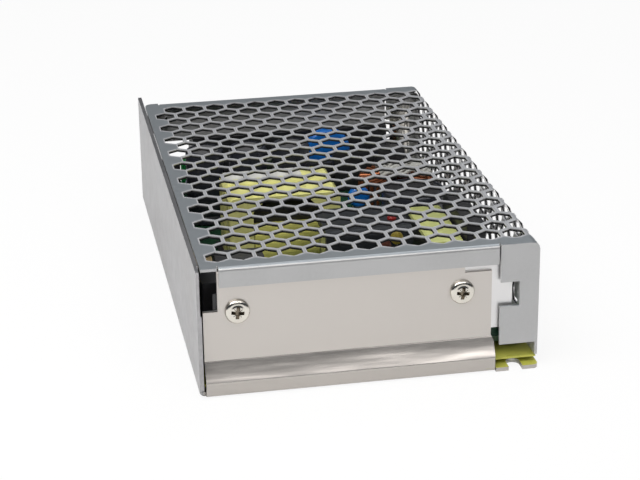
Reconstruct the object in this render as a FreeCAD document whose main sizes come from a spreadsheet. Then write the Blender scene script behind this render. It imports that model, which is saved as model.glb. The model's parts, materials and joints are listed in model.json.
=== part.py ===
import FreeCAD, Part
import Sketcher
import math
import os
import re
from FreeCAD import Rotation, Vector

# Open-frame switching power supply in a folded sheet case, millimetres.
# Origin: centre of the underside. +Z up, -Y the end with the clamping screws,
# +Y the terminal end, -X the plain side wall, +X the perforated side wall.
# A place "across" is a share of the case's width from the left, one "along" is a share of its
# length from the front, and a "rear_gap" starts at the rear end.

SIZES = {
    # case
    "case_length": 159.0,
    "case_width": 97.0,
    "case_height": 38.0,
    "base_gauge": 1.2,
    "base_bend": 1.6,
    "fold_slit": 0.25,
    "fold_relief": 0.3,
    # folded end plate with its joggle
    "joggle_start": 5.2,
    "joggle_rise": 4.2,
    "joggle_bend": 2.2,
    "plate_right_gap": 13.55,
    "plate_top_gap": 0.4,
    "plate_notch_width": 4.1,
    "plate_notch_bottom": 24.8,
    "plate_corner_width": 7.75,
    "plate_corner_drop": 7.8,
    "tongue_reach": 6.2,
    "tongue_lap": 1.4,
    "tongue_low_lap": 0.4,
    "tongue_step": 0.9,
    "tongue_bottom": 12.3,
    "sill_extra": 0.8,
    "sill_height": 9.0,
    # base plate fixings
    "slot_radius": 2.0,
    "slot_depth": 3.2,
    "slot_inset": 6.7,
    "base_corner": 1.6,
    "base_hole_radius": 1.5,
    "base_hole_spacing_across": 77.0,
    "base_hole_spacing_along": 120.0,
    # perforated cover
    "cover_gauge": 0.8,
    "cover_bend": 2.0,
    "cover_front_setback": 1.75,
    "cover_rear_setback": 8.1,
    "cover_side_gap": 0.3,
    "cover_side_bottom": 3.6,
    "cover_rear_corner": 2.5,
    "seat_gap": 0.05,
    "flange_bend": 1.2,
    "flange_left_inset": 5.0,
    "front_flange_drop": 5.8,
    "terminal_cover_gap": 1.6,
    "tab_share": 0.11546,
    "tab_slit": 0.5,
    "tab_bottom": 7.5,
    "tab_notch_bottom": 19.2,
    "tab_notch_height": 7.4,
    "tab_notch_depth": 5.6,
    "front_lip_length": 4.6,
    "rear_lip_length": 1.6,
    # perforation
    "hole_across_flats": 5.95,
    "hole_pitch": 7.04,
    "hole_row_pitch": 6.32,
    "hole_end_margin": 8.2,
    "hole_left_margin": 5.5,
    "hole_bottom_margin": 4.2,
    # circuit board and what it stands on
    "collar_height": 1.5,
    "standoff_height": 3.8,
    "standoff_across": 5.0,
    "standoff_collar_across": 8.0,
    "standoff_inset": 12.0,
    "board_gauge": 1.6,
    "board_front_gap": 5.0,
    "board_corner_width": 11.2,
    "board_corner_depth": 4.5,
    "board_rear_gap": 1.5,
    "board_side_gap": 2.6,
    "screw_reach": 3.0,
    "standoff_rear_inset": 22.0,
    "sheet_gauge": 0.4,
    "sheet_side_gap": 0.4,
    "sheet_right_gap": 0.3,
    "sheet_front_gap": 1.0,
    "screw_head_radius": 2.7,
    "screw_head_height": 1.9,
    "screw_radius": 1.5,
    "screw_clearance": 0.1,
    # terminal block
    "pole_count": 7,
    "pole_share": 0.097938,
    "rib_gauge": 1.5,
    "terminal_across": 0.173196,
    "terminal_rear_gap": 0.6,
    "terminal_depth": 13.0,
    "terminal_back": 2.4,
    "terminal_height": 16.2,
    "terminal_back_height": 19.6,
    "terminal_shelf": 7.0,
    "terminal_foot": 1.2,
    "terminal_nose": 3.0,
    "bar_gauge": 0.8,
    "bar_length": 9.2,
    "clamp_gauge": 1.0,
    "clamp_side_gap": 0.4,
    "terminal_screw_radius": 3.2,
    "terminal_screw_head": 2.1,
    "terminal_shank_radius": 1.7,
    "terminal_shank_length": 6.0,
    "cross_width": 0.8,
    "cross_depth": 1.0,
    # clamping screws of the end plate and the power devices behind it
    "end_screw_drop": 13.4,
    "end_screw_left_inset": 9.5,
    "end_screw_right_inset": 8.6,
    "end_head_radius": 3.4,
    "end_head_height": 2.2,
    "end_shank_length": 11.5,
    "pad_gauge": 0.4,
    "pad_width": 13.0,
    "pad_rise": 5.0,
    "pad_height": 16.4,
    "device_width": 10.2,
    "device_height": 15.2,
    "device_gauge": 4.5,
    "device_hole_drop": 3.2,
    "lead_width": 0.9,
    "lead_pitch": 2.54,
    "nut_height": 2.4,
    "nut_across": 5.5,
    # transformer
    "core_width": 34.4,
    "core_depth": 24.0,
    "core_height": 23.6,
    "core_leg_left": 7.2,
    "core_leg_right": 6.4,
    "core_yoke": 1.4,
    "core_base_yoke": 1.0,
    "core_arch": 3.4,
    "core_corner": 1.2,
    "core_across": 0.3732,
    "core_along": 0.509,
    "bobbin_height": 1.8,
    "bobbin_overhang": 1.6,
    "winding_overhang": 1.0,
    "winding_gap": 0.3,
    "winding_height": 13.0,
    "winding_crown": 1.2,
    "label_gauge": 0.2,
    "label_depth": 6.8,
    "label_right_gap": 9.0,
    # output capacitors
    "output_can_count": 3,
    "output_can_radius": 6.25,
    "output_can_height": 25.0,
    "output_can_spacing": 14.4,
    "output_can_across": 0.1814,
    "output_can_along": 0.747,
    # mains capacitor
    "mains_can_radius": 10.2,
    "mains_can_height": 20.0,
    "mains_can_across": 0.8196,
    "mains_can_along": 0.5101,
    # heat spreader
    "spreader_width": 26.0,
    "spreader_depth": 20.0,
    "spreader_height": 23.4,
    "spreader_gauge": 2.0,
    "spreader_across": 0.5825,
    "spreader_along": 0.315,
    # film capacitor and the black box beside it
    "film_width": 10.8,
    "film_length_share": 0.19182,
    "film_height": 18.5,
    "film_across": 0.8206,
    "film_along": 0.3403,
    "filter_width": 6.0,
    "filter_length_share": 0.18868,
    "filter_height": 23.0,
    "neighbour_gap": 0.8,
    # common mode choke
    "choke_radius": 11.0,
    "choke_bore": 5.5,
    "choke_gauge": 12.0,
    "choke_base": 2.0,
    "choke_across": 0.8196,
    "choke_along": 0.682,
    "coil_gauge": 1.5,
    "coil_width": 13.0,
    "coil_parting": 1.0,
    "bead_width": 11.0,
    "bead_height": 3.0,
    # output inductor
    "inductor_width": 15.0,
    "inductor_depth": 13.0,
    "inductor_height": 14.0,
    "inductor_across": 0.1959,
    "inductor_along": 0.32,
    "driver_width": 13.0,
    "driver_depth": 11.0,
    "driver_height": 12.0,
    "driver_across": 0.3299,
    "driver_along": 0.20,
    # discs
    "varistor_radius": 8.0,
    "varistor_gauge": 4.2,
    "varistor_lift": 5.5,
    "varistor_across": 0.6495,
    "varistor_rear_gap": 17.2,
    "disc_radius": 4.2,
    "disc_gauge": 3.0,
    "disc_lift": 9.6,
    "disc_across": 0.6649,
    "disc_along": 0.5786,
    "thermistor_across": 0.4485,
    "thermistor_rear_gap": 18.6,
    "thermistor_radius": 5.5,
    "thermistor_lift": 2.4,
    # small parts near the terminals
    "bridge_width": 15.0,
    "bridge_depth": 3.4,
    "bridge_height": 14.0,
    "bridge_across": 0.7371,
    "bridge_rear_gap": 21.5,
    "fuse_length": 18.0,
    "fuse_radius": 2.6,
    "fuse_lift": 1.4,
    "fuse_cap": 5.0,
    "fuse_across": 0.2804,
    "fuse_rear_gap": 20.2,
    "led_radius": 1.5,
    "led_height": 12.2,
    "led_gap": 2.8,
    "led_rear_gap": 4.6,
    "trimmer_size": 6.4,
    "trimmer_height": 4.4,
    "trimmer_gap": 0.9,
    "rotor_radius": 2.2,
    "rotor_height": 1.2,
    "rotor_gap": 0.1,
    "rotor_slot": 0.7,
    "resistor_length": 9.0,
    "resistor_size": 2.8,
    "resistor_pitch_share": 0.0371,
    "resistor_count": 3,
    "resistor_across": 0.0557,
    "resistor_along": 0.50,
    "bypass_size": 5.0,
    "bypass_height": 11.0,
    "bypass_pitch": 7.5,
    "bypass_count": 3,
    "snubber_width": 7.8,
    "snubber_depth": 12.0,
    "snubber_height": 21.5,
    "snubber_across": 0.0742,
    "snubber_along": 0.135,
    "bypass_across": 0.4897,
    "bypass_along": 0.165,
}

# Small round pieces inside the case are drawn as prisms, to keep the whole model light.
CAN_SIDES = 24
HEAD_SIDES = 12
SHANK_SIDES = 6
BEND_FLATS = 3

doc = FreeCAD.newDocument("mesh_case_power_supply")
sheet = doc.addObject("Spreadsheet::Sheet", "sizes")
sheet.Label = "sizes"
for row, (word, value) in enumerate(SIZES.items(), start=1):
    sheet.set(f"A{row}", word)
    sheet.set(f"B{row}", str(value))
    sheet.setAlias(f"B{row}", word)
doc.recompute()

PARTS = []

# Heights and planes that several pieces share, written once in the sheet's words.
LEFT = "(-case_width/2)"
RIGHT = "(case_width/2)"
FRONT = "(-case_length/2)"
REAR = "(case_length/2)"
JOGGLE = "(cover_front_setback + cover_gauge + seat_gap)"
PLATE_LEFT = f"({LEFT} + base_bend + fold_slit)"
PLATE_RIGHT = f"({RIGHT} - plate_right_gap)"
SILL_RIGHT = f"({PLATE_RIGHT} + sill_extra)"
PLATE_OUTER = f"({FRONT} + {JOGGLE})"
PLATE_INNER = f"({PLATE_OUTER} + base_gauge)"
PLATE_TOP = "(case_height - cover_gauge - plate_top_gap)"
COVER_LEFT = f"({LEFT} + base_gauge + cover_side_gap)"
COVER_FRONT = f"({FRONT} + cover_front_setback)"
COVER_REAR = f"({REAR} - cover_rear_setback)"
TAB_LEFT = f"({RIGHT} - tab_share * case_width)"
SHEET_BOTTOM = "(base_gauge + collar_height)"
BOARD_BOTTOM = "(base_gauge + standoff_height)"
BOARD_TOP = "(base_gauge + standoff_height + board_gauge)"
POLE_PITCH = "(pole_share * case_width)"
CLAMP_SIZE = f"({POLE_PITCH} - rib_gauge - 2 * clamp_side_gap)"
TERMINAL_LEFT = f"({LEFT} + terminal_across * case_width)"
TERMINAL_REAR = f"({REAR} - terminal_rear_gap)"
TERMINAL_FRONT = f"({TERMINAL_REAR} - terminal_depth)"
SHELF_TOP = f"({BOARD_TOP} + terminal_shelf)"
SCREW_Y = f"({TERMINAL_REAR} - (terminal_depth - terminal_back)/2)"


def in_sheet(words):
    """An expression in which every word of the sheet is read from the sheet."""
    return re.sub(r"[a-z]+(?:_[a-z]+)+", lambda found: "sizes." + found.group(0), words)


def bind(item, field, words):
    item.setExpression(field, in_sheet(words))


def place(item, x, y, z):
    bind(item, "Placement.Base.x", x)
    bind(item, "Placement.Base.y", y)
    bind(item, "Placement.Base.z", z)


def keep(item, label):
    """Name a finished sub-part, so that it is checked and written."""
    item.Label = label
    PARTS.append(item)
    return item


def box(name, x, y, z, width, depth, height):
    item = doc.addObject("Part::Box", name)
    bind(item, "Length", width)
    bind(item, "Width", depth)
    bind(item, "Height", height)
    place(item, x, y, z)
    return item


def standing_box(name, x, y, z, width, depth, height):
    """A box given by the centre of its underside."""
    return box(name, f"{x} - ({width})/2", f"{y} - ({depth})/2", z, width, depth, height)


def cylinder(name, x, y, z, radius, height, turn=None):
    item = doc.addObject("Part::Cylinder", name)
    bind(item, "Radius", radius)
    bind(item, "Height", height)
    if turn:
        item.Placement = FreeCAD.Placement(Vector(), turn)
    place(item, x, y, z)
    return item


def prism(name, x, y, z, radius, height, sides, turn=None):
    item = doc.addObject("Part::Prism", name)
    item.Polygon = sides
    bind(item, "Circumradius", radius)
    bind(item, "Height", height)
    if turn:
        item.Placement = FreeCAD.Placement(Vector(), turn)
    place(item, x, y, z)
    return item


def fuse(name, items):
    item = doc.addObject("Part::MultiFuse", name)
    item.Shapes = items
    return item


def group(name, items):
    item = doc.addObject("Part::Compound", name)
    item.Links = items
    return item


def cut(name, base, tools):
    """The base less one tool, or less several tools at once."""
    tool = tools if not isinstance(tools, list) else fuse(name + "_tools", tools)
    item = doc.addObject("Part::Cut", name)
    item.Base = base
    item.Tool = tool
    return item


def new_body(name):
    return doc.addObject("PartDesign::Body", name)


def sketch_on(body, name, plane, shift="0"):
    """A sketch on one of the body's own origin planes, moved along its normal."""
    sketch = body.newObject("Sketcher::SketchObject", name)
    support = [item for item in body.Origin.OriginFeatures if item.Role == plane][0]
    sketch.AttachmentSupport = (support, "")
    sketch.MapMode = "FlatFace"
    bind(sketch, "AttachmentOffset.Base.z", shift)
    return sketch


def tie(sketch, kind, part, point, words, number):
    """Hold one coordinate of a point of the sketch at an expression."""
    added = sketch.addConstraint(Sketcher.Constraint(kind, -1, 1, part, point, number))
    bind(sketch, f"Constraints[{added}]", words)


def outline(body, name, plane, corners, shift="0"):
    """A closed outline whose corners are tied to expressions."""
    sketch = sketch_on(body, name, plane, shift)
    count = len(corners)
    rough = [Vector(10, 0, 0) for corner in corners]
    for index in range(count):
        turn = 2 * math.pi * index / count
        rough[index] = Vector(10 * math.cos(turn), 10 * math.sin(turn), 0)
    for index in range(count):
        sketch.addGeometry(Part.LineSegment(rough[index], rough[(index + 1) % count]), False)
    for index, (x, y) in enumerate(corners):
        sketch.addConstraint(Sketcher.Constraint("Coincident", index, 2, (index + 1) % count, 1))
        tie(sketch, "DistanceX", index, 1, x, rough[index].x)
        tie(sketch, "DistanceY", index, 1, y, rough[index].y)
    return sketch


def circles(body, name, plane, centres, radius, shift="0"):
    """Round outlines of one size, each centre and radius tied to expressions."""
    sketch = sketch_on(body, name, plane, shift)
    for index, (x, y) in enumerate(centres):
        rough = Vector(10 * (index + 1), 10, 0)
        sketch.addGeometry(Part.Circle(rough, Vector(0, 0, 1), 1), False)
        tie(sketch, "DistanceX", index, 3, x, rough.x)
        tie(sketch, "DistanceY", index, 3, y, rough.y)
        added = sketch.addConstraint(Sketcher.Constraint("Radius", index, 1))
        bind(sketch, f"Constraints[{added}]", radius)
    return sketch


def pad(body, sketch, length, backwards=False):
    feature = body.newObject("PartDesign::Pad", sketch.Name + "_pad")
    feature.Profile = sketch
    bind(feature, "Length", length)
    feature.Reversed = backwards
    doc.recompute()
    return feature


def pocket(body, sketch, length, backwards=False):
    """Cut a pocket, and stop if it removes nothing."""
    before = body.Shape.Volume
    feature = body.newObject("PartDesign::Pocket", sketch.Name + "_pocket")
    feature.Profile = sketch
    bind(feature, "Length", length)
    feature.Reversed = backwards
    doc.recompute()
    if body.Shape.Volume > before - 1e-6:
        raise RuntimeError(f"{sketch.Name} cuts nothing")
    return feature


def round_edges(body, name, radius, wanted):
    """Round the edges of the body that a test of their bounds picks out."""
    base = body.Tip
    picked = []
    for number, edge in enumerate(base.Shape.Edges, start=1):
        if wanted(edge.BoundBox):
            picked.append(f"Edge{number}")
    if not picked:
        raise RuntimeError(f"{name} finds no edge")
    feature = body.newObject("PartDesign::Fillet", name)
    feature.Base = (base, picked)
    bind(feature, "Radius", radius)
    doc.recompute()
    return feature


def near(first, second):
    return abs(first - second) < 0.01


def along_x(bounds, y, z):
    """Whether bounds are those of an edge that runs along X at y and z."""
    return (bounds.XLength > 1 and near(bounds.YMin, y) and near(bounds.YMax, y)
            and near(bounds.ZMin, z) and near(bounds.ZMax, z))


def along_y(bounds, x, z):
    """Whether bounds are those of an edge that runs along Y at x and z."""
    return (bounds.YLength > 1 and near(bounds.XMin, x) and near(bounds.XMax, x)
            and near(bounds.ZMin, z) and near(bounds.ZMax, z))


def along_z(bounds, x, y):
    """Whether bounds are those of an edge that runs along Z at x and y."""
    return (bounds.ZLength > 0.1 and near(bounds.XMin, x) and near(bounds.XMax, x)
            and near(bounds.YMin, y) and near(bounds.YMax, y))


def rectangle(left, low, right, high):
    return [(left, low), (right, low), (right, high), (left, high)]


# ---------------------------------------------------------------- chassis
def make_chassis():
    """Base, left wall and joggled end plate, folded from one sheet."""
    body = new_body("chassis_sheet")
    pad(body, outline(body, "base_outline", "XY_Plane", rectangle(LEFT, FRONT, RIGHT, REAR)), "base_gauge")
    wall = rectangle(FRONT, "0", REAR, "case_height")
    pad(body, outline(body, "wall_outline", "YZ_Plane", wall, LEFT), "base_gauge")
    whole = body.Shape.BoundBox
    round_edges(body, "wall_bend_outside", "base_bend", lambda b: along_y(b, whole.XMin, whole.ZMin))

    # Reliefs let the end plate fold up clear of the wall and of the flat corner with the slot.
    fold_line = f"({FRONT} + base_bend + fold_slit)"
    corner_relief = [
        (f"{FRONT} - 1", "-1"),
        (fold_line, "-1"),
        (fold_line, "base_gauge"),
        (FRONT, "2 * base_gauge"),
        (f"{FRONT} - 1", "2 * base_gauge"),
    ]
    relief = outline(body, "corner_relief", "YZ_Plane", corner_relief, f"{LEFT} - 1")
    pocket(body, relief, f"{PLATE_LEFT} - {LEFT} + 1", backwards=True)
    sill_relief = rectangle(SILL_RIGHT, f"{FRONT} - 1", f"{SILL_RIGHT} + fold_relief", fold_line)
    pocket(body, outline(body, "sill_relief", "XY_Plane", sill_relief), "base_gauge", backwards=True)

    # The sloping run of the joggle keeps the gauge: its inner corners sit lower by the gauge
    # times the tangent of half the slope's angle.
    drop = f"(base_gauge * tan(atan({JOGGLE} / joggle_rise) / 2))"
    joggle = [
        (FRONT, "0"),
        (FRONT, "joggle_start"),
        (PLATE_OUTER, "joggle_start + joggle_rise"),
        (PLATE_OUTER, PLATE_TOP),
        (PLATE_INNER, PLATE_TOP),
        (PLATE_INNER, f"joggle_start + joggle_rise - {drop}"),
        (f"{FRONT} + base_gauge", f"joggle_start - {drop}"),
        (f"{FRONT} + base_gauge", "0"),
    ]
    pad(body, outline(body, "joggle_outline", "YZ_Plane", joggle, PLATE_LEFT),
        f"{SILL_RIGHT} - {PLATE_LEFT}")

    # Above the sill the plate is narrower, and both its upper corners are cut out.
    before = f"-{FRONT} + 1"
    through = f"{PLATE_INNER} - {FRONT} + 2"
    trimmed = [
        (f"{SILL_RIGHT} + 1", "sill_height"),
        (SILL_RIGHT, "sill_height"),
        (PLATE_RIGHT, "sill_height + 2 * sill_extra"),
        (PLATE_RIGHT, "case_height"),
        (f"{SILL_RIGHT} + 1", "case_height"),
    ]
    pocket(body, outline(body, "plate_side", "XZ_Plane", trimmed, before), through)
    notch = rectangle(f"{PLATE_LEFT} - 1", "plate_notch_bottom", f"{PLATE_LEFT} + plate_notch_width",
                      "case_height")
    pocket(body, outline(body, "plate_notch", "XZ_Plane", notch, before), through)
    corner_left = f"{PLATE_RIGHT} - plate_corner_width"
    corner_bottom = "case_height - plate_corner_drop"
    corner = rectangle(corner_left, corner_bottom, f"{PLATE_RIGHT} + 1", "case_height")
    pocket(body, outline(body, "plate_corner", "XZ_Plane", corner, before), through)

    # The tongue stands a step further in, behind the cut corner and the cover's end tab.
    tongue = [
        (f"{PLATE_RIGHT} - tongue_lap", "tongue_bottom"),
        (f"{PLATE_RIGHT} + tongue_reach", "tongue_bottom"),
        (f"{PLATE_RIGHT} + tongue_reach", PLATE_TOP),
        (f"{corner_left} - tongue_lap", PLATE_TOP),
        (f"{corner_left} - tongue_lap", f"{corner_bottom} - tongue_low_lap"),
        (f"{PLATE_RIGHT} - tongue_lap", f"{corner_bottom} - tongue_low_lap"),
    ]
    pad(body, outline(body, "tongue_outline", "XZ_Plane", tongue, f"-{PLATE_OUTER} - tongue_step"),
        "base_gauge",
        backwards=True)

    half_across = "base_hole_spacing_across/2"
    half_along = "base_hole_spacing_along/2"
    corners = [(f"{side} * {half_across}", f"{end} * {half_along}") for side in (-1, 1) for end in (-1, 1)]
    pocket(body, circles(body, "base_holes", "XY_Plane", corners, "base_hole_radius"), "base_gauge",
           backwards=True)
    slot_x = f"({RIGHT} - slot_inset)"
    for name, edge, inward in (("front_slot", FRONT, "+"), ("rear_slot", REAR, "-")):
        end = f"{edge} {inward} slot_depth"
        round_end = circles(body, name + "_round", "XY_Plane", [(slot_x, end)], "slot_radius")
        pocket(body, round_end, "base_gauge", backwards=True)
        low, high = (f"{edge} - 1", end) if inward == "+" else (end, f"{edge} + 1")
        mouth = rectangle(f"{slot_x} - slot_radius", low, f"{slot_x} + slot_radius", high)
        pocket(body, outline(body, name + "_mouth", "XY_Plane", mouth), "base_gauge", backwards=True)

    gauge = SIZES["base_gauge"]
    joggle_depth = SIZES["cover_front_setback"] + SIZES["cover_gauge"] + SIZES["seat_gap"]
    start = SIZES["joggle_start"]
    top = start + SIZES["joggle_rise"]
    round_edges(body, "end_bend_outside", "base_bend", lambda b: (
        b.XLength > SIZES["case_width"] / 2 and along_x(b, whole.YMin, whole.ZMin)))
    slant = gauge * math.tan(math.atan(joggle_depth / SIZES["joggle_rise"]) / 2)
    round_edges(body, "joggle_bends_wide", "joggle_bend", lambda b: (
        along_x(b, whole.YMin, start) or along_x(b, whole.YMin + joggle_depth + gauge, top - slant)))
    round_edges(body, "joggle_bends_tight", "joggle_bend - base_gauge", lambda b: (
        along_x(b, whole.YMin + gauge, start - slant) or along_x(b, whole.YMin + joggle_depth, top)))
    round_edges(body, "base_corners", "base_corner", lambda b: (
        b.ZMax < gauge + 0.01 and (along_z(b, whole.XMax, whole.YMin) or along_z(b, whole.XMax,
                                                                                 whole.YMax))))
    return body


# ---------------------------------------------------------------- perforated cover
def bend_corners(radius):
    """Corners of the wall bend from the roof to the wall, drawn with a few flats round one centre."""
    turns = [90 * step / BEND_FLATS for step in range(BEND_FLATS + 1)]
    return [(f"{RIGHT} - cover_bend + {radius} * sin({turn})",
             f"case_height - cover_bend + {radius} * cos({turn})") for turn in turns]


def make_cover_blank():
    """The cover before punching: top, right wall, end flanges and end tabs from one sheet."""
    body = new_body("cover_blank")
    inner_top = "(case_height - cover_gauge)"
    outside = bend_corners("cover_bend")
    inside = bend_corners("(cover_bend - cover_gauge)")
    roof = [(COVER_LEFT, inner_top), (COVER_LEFT, "case_height")] + outside
    roof += [(RIGHT, "cover_side_bottom"), (f"{RIGHT} - cover_gauge", "cover_side_bottom")] + inside[::-1]
    pad(body, outline(body, "roof_outline", "XZ_Plane", roof, f"-{COVER_REAR}"),
        f"{COVER_REAR} - {COVER_FRONT}")
    whole = body.Shape.BoundBox
    round_edges(body, "rear_left_corner", "cover_rear_corner", lambda b: along_z(b, whole.XMin, whole.YMax))

    # Each flange hangs from the roof between two slits, with its bend set in from the roof's edge.
    flange_left = f"({COVER_LEFT} + flange_left_inset)"
    flange_right = f"({TAB_LEFT} - tab_slit)"
    front_edge = "case_height - front_flange_drop"
    rear_edge = f"{BOARD_TOP} + terminal_height + terminal_cover_gap"
    for name, end, inward, lower_edge in (("front_flange", COVER_FRONT, "+", front_edge),
                                          ("rear_flange", COVER_REAR, "-", rear_edge)):
        beyond = f"{end} - ({inward}1)"
        bend_line = f"{end} {inward} flange_bend {inward} tab_slit"
        slit = rectangle(f"{flange_left} - tab_slit", beyond, TAB_LEFT, bend_line)
        pocket(body, outline(body, name + "_slit", "XY_Plane", slit, inner_top), "cover_gauge + 1",
               backwards=True)
        flange = [
            (end, lower_edge),
            (end, "case_height"),
            (bend_line, "case_height"),
            (bend_line, inner_top),
            (f"{end} {inward} cover_gauge", inner_top),
            (f"{end} {inward} cover_gauge", lower_edge),
        ]
        sketch = outline(body, name, "YZ_Plane", flange, flange_left)
        pad(body, sketch, f"{flange_right} - {flange_left}")
    flange_span = SIZES["case_width"] / 2
    round_edges(body, "flange_bends_outside", "flange_bend", lambda b: b.XLength > flange_span and (
        along_x(b, whole.YMin, whole.ZMax) or along_x(b, whole.YMax, whole.ZMax)))

    notch_right = f"({TAB_LEFT} + tab_notch_depth)"
    tab = [(TAB_LEFT, "tab_bottom"), (RIGHT, "tab_bottom")] + outside[::-1]
    tab += [
        (TAB_LEFT, "case_height"),
        (TAB_LEFT, "tab_notch_bottom + tab_notch_height"),
        (notch_right, "tab_notch_bottom + tab_notch_height"),
        (notch_right, "tab_notch_bottom"),
        (TAB_LEFT, "tab_notch_bottom"),
    ]
    lip = rectangle(f"{notch_right}", "tab_notch_bottom + cover_gauge",
                    f"{notch_right} + cover_gauge", "tab_notch_bottom + tab_notch_height - cover_gauge")
    pad(body, outline(body, "front_tab", "XZ_Plane", tab, f"-{COVER_FRONT}"), "cover_gauge", backwards=True)
    pad(body, outline(body, "rear_tab", "XZ_Plane", tab, f"-{COVER_REAR}"), "cover_gauge")
    pad(body, outline(body, "front_lip", "XZ_Plane", lip, f"-{COVER_FRONT}"),
        "front_lip_length + cover_gauge", backwards=True)
    pad(body, outline(body, "rear_lip", "XZ_Plane", lip, f"-{COVER_REAR}"), "rear_lip_length + cover_gauge")
    return body


def hexagon(centre, across, along, depth, width_scale=1.0):
    """A punch with flat sides towards ±across and corners towards ±along."""
    half = SIZES["hole_across_flats"] / 2
    stretch = SIZES["hole_row_pitch"] / (SIZES["hole_pitch"] * math.sqrt(3) / 2)
    corners = []
    for index in range(7):
        turn = math.radians(60 * index)
        reach_across = width_scale * half / math.cos(math.pi / 6) * math.sin(turn)
        reach_along = stretch * half / math.cos(math.pi / 6) * math.cos(turn)
        corners.append(centre + across * reach_across + along * reach_along)
    return Part.Face(Part.makePolygon(corners)).extrude(depth)


def make_punches():
    """Hexagonal punches in staggered rows, laid over the top, round the bend and down the wall."""
    gauge = SIZES["cover_gauge"]
    bend = SIZES["cover_bend"]
    width = SIZES["case_width"]
    height = SIZES["case_height"]
    right = width / 2
    middle_radius = bend - gauge / 2
    bend_start = right - bend
    bend_end = bend_start + middle_radius * math.pi / 2
    half = SIZES["hole_across_flats"] / 2
    pitch = SIZES["hole_pitch"]
    first_x = -width / 2 + SIZES["base_gauge"] + SIZES["cover_side_gap"] + SIZES["hole_left_margin"]
    lowest_z = SIZES["cover_side_bottom"] + SIZES["hole_bottom_margin"] + half
    front = -SIZES["case_length"] / 2 + SIZES["cover_front_setback"] + SIZES["hole_end_margin"]
    rear = SIZES["case_length"] / 2 - SIZES["cover_rear_setback"] - SIZES["hole_end_margin"]
    rows = int((rear - front + 0.01) / SIZES["hole_row_pitch"]) + 1
    slack = (rear - front - (rows - 1) * SIZES["hole_row_pitch"]) / 2
    through = 2 * gauge
    slant = Vector(-1, 0, -1).normalize()
    skew = Vector(1, 0, -1).normalize()
    ahead = Vector(0, 1, 0)
    punches = []
    for row_number in range(rows):
        y = front + slack + row_number * SIZES["hole_row_pitch"]
        along_sheet = first_x + (pitch / 2 if row_number % 2 else 0)
        while True:
            wall_z = height - bend - (along_sheet - bend_end)
            if along_sheet + half <= bend_start:
                top = Vector(along_sheet, y, height + gauge / 2)
                punches.append(hexagon(top, Vector(1, 0, 0), ahead, Vector(0, 0, -through)))
            elif along_sheet - half < bend_end:
                punches.append(bend_punch(along_sheet, y, bend_start, bend_end, skew, slant))
            elif wall_z >= lowest_z:
                wall = Vector(right + gauge / 2, y, wall_z)
                punches.append(hexagon(wall, Vector(0, 0, -1), ahead, Vector(-through, 0, 0)))
            else:
                break
            along_sheet += pitch
    item = doc.addObject("Part::Feature", "hexagon_punches")
    item.Shape = Part.makeCompound(punches)
    return item


def bend_punch(along_sheet, y, bend_start, bend_end, skew, slant):
    """A punch through the bend, square to its slope, as wide as the flat hole is when bent."""
    half = SIZES["hole_across_flats"] / 2
    gauge = SIZES["cover_gauge"]
    edges = [bent_point(along_sheet + side * half, bend_start, bend_end) for side in (-1, 1)]
    middle = (edges[0] + edges[1]) * 0.5
    wide = (edges[1] - edges[0]).dot(skew) / (2 * half)
    centre = Vector(middle.x, y, middle.z) - slant * (4 * gauge)
    return hexagon(centre, skew, Vector(0, 1, 0), slant * (8 * gauge), wide)


def bent_point(along_sheet, bend_start, bend_end):
    """Where a point of the flat sheet's middle goes when the wall is bent down."""
    gauge = SIZES["cover_gauge"]
    bend = SIZES["cover_bend"]
    height = SIZES["case_height"]
    right = SIZES["case_width"] / 2
    if along_sheet <= bend_start:
        return Vector(along_sheet, 0, height - gauge / 2)
    if along_sheet >= bend_end:
        return Vector(right - gauge / 2, 0, height - bend - (along_sheet - bend_end))
    turn = math.pi / 2 * (along_sheet - bend_start) / (bend_end - bend_start)
    reach = bend - gauge / 2
    return Vector(right - bend + reach * math.sin(turn), 0, height - bend + reach * math.cos(turn))


# ---------------------------------------------------------------- sheet, board and standoffs
def corner_places():
    """The four standoff centres, set in from the board's corners."""
    low_x = f"({LEFT} + board_side_gap + standoff_inset)"
    high_x = f"({RIGHT} - board_side_gap - standoff_inset)"
    low_y = f"({FRONT} + board_front_gap + standoff_inset)"
    high_y = f"({REAR} - board_rear_gap - standoff_rear_inset)"
    return [(low_x, low_y), (high_x, low_y), (low_x, high_y), (high_x, high_y)]


def across_flats(words):
    return f"({words}) / 2 / cos(30)"


def make_standoffs():
    """Hexagonal standoffs with a wider collar that carries the insulating sheet."""
    posts = []
    for number, (x, y) in enumerate(corner_places(), start=1):
        collar = prism(f"collar_{number}", x, y, "base_gauge", across_flats("standoff_collar_across"),
                       "collar_height", 6)
        post = prism(f"post_{number}", x, y, "base_gauge", across_flats("standoff_across"),
                     "standoff_height", 6)
        bore = prism(f"post_bore_{number}", x, y, f"{BOARD_BOTTOM} - screw_reach",
                     "screw_radius + screw_clearance", "screw_reach + 1", SHANK_SIDES)
        posts.append(cut(f"standoff_{number}", fuse(f"standoff_blank_{number}", [collar, post]), bore))
    return group("standoff_group", posts)


def make_sheet_of_insulation():
    """The thin sheet between base and board, which reaches under the cover's side wall."""
    plate = box("insulation_blank", f"{LEFT} + base_gauge + sheet_side_gap",
                f"{FRONT} + sheet_front_gap + base_gauge",
                SHEET_BOTTOM, "case_width - base_gauge - sheet_side_gap - sheet_right_gap",
                "case_length - sheet_front_gap - base_gauge - board_rear_gap", "sheet_gauge")
    holes = [prism(f"insulation_hole_{number}", x, y, "base_gauge",
                   across_flats("standoff_across + 2 * screw_clearance"), "standoff_height", 6)
             for number, (x, y) in enumerate(corner_places(), start=1)]
    return cut("insulation_sheet", plate, holes)


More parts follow.
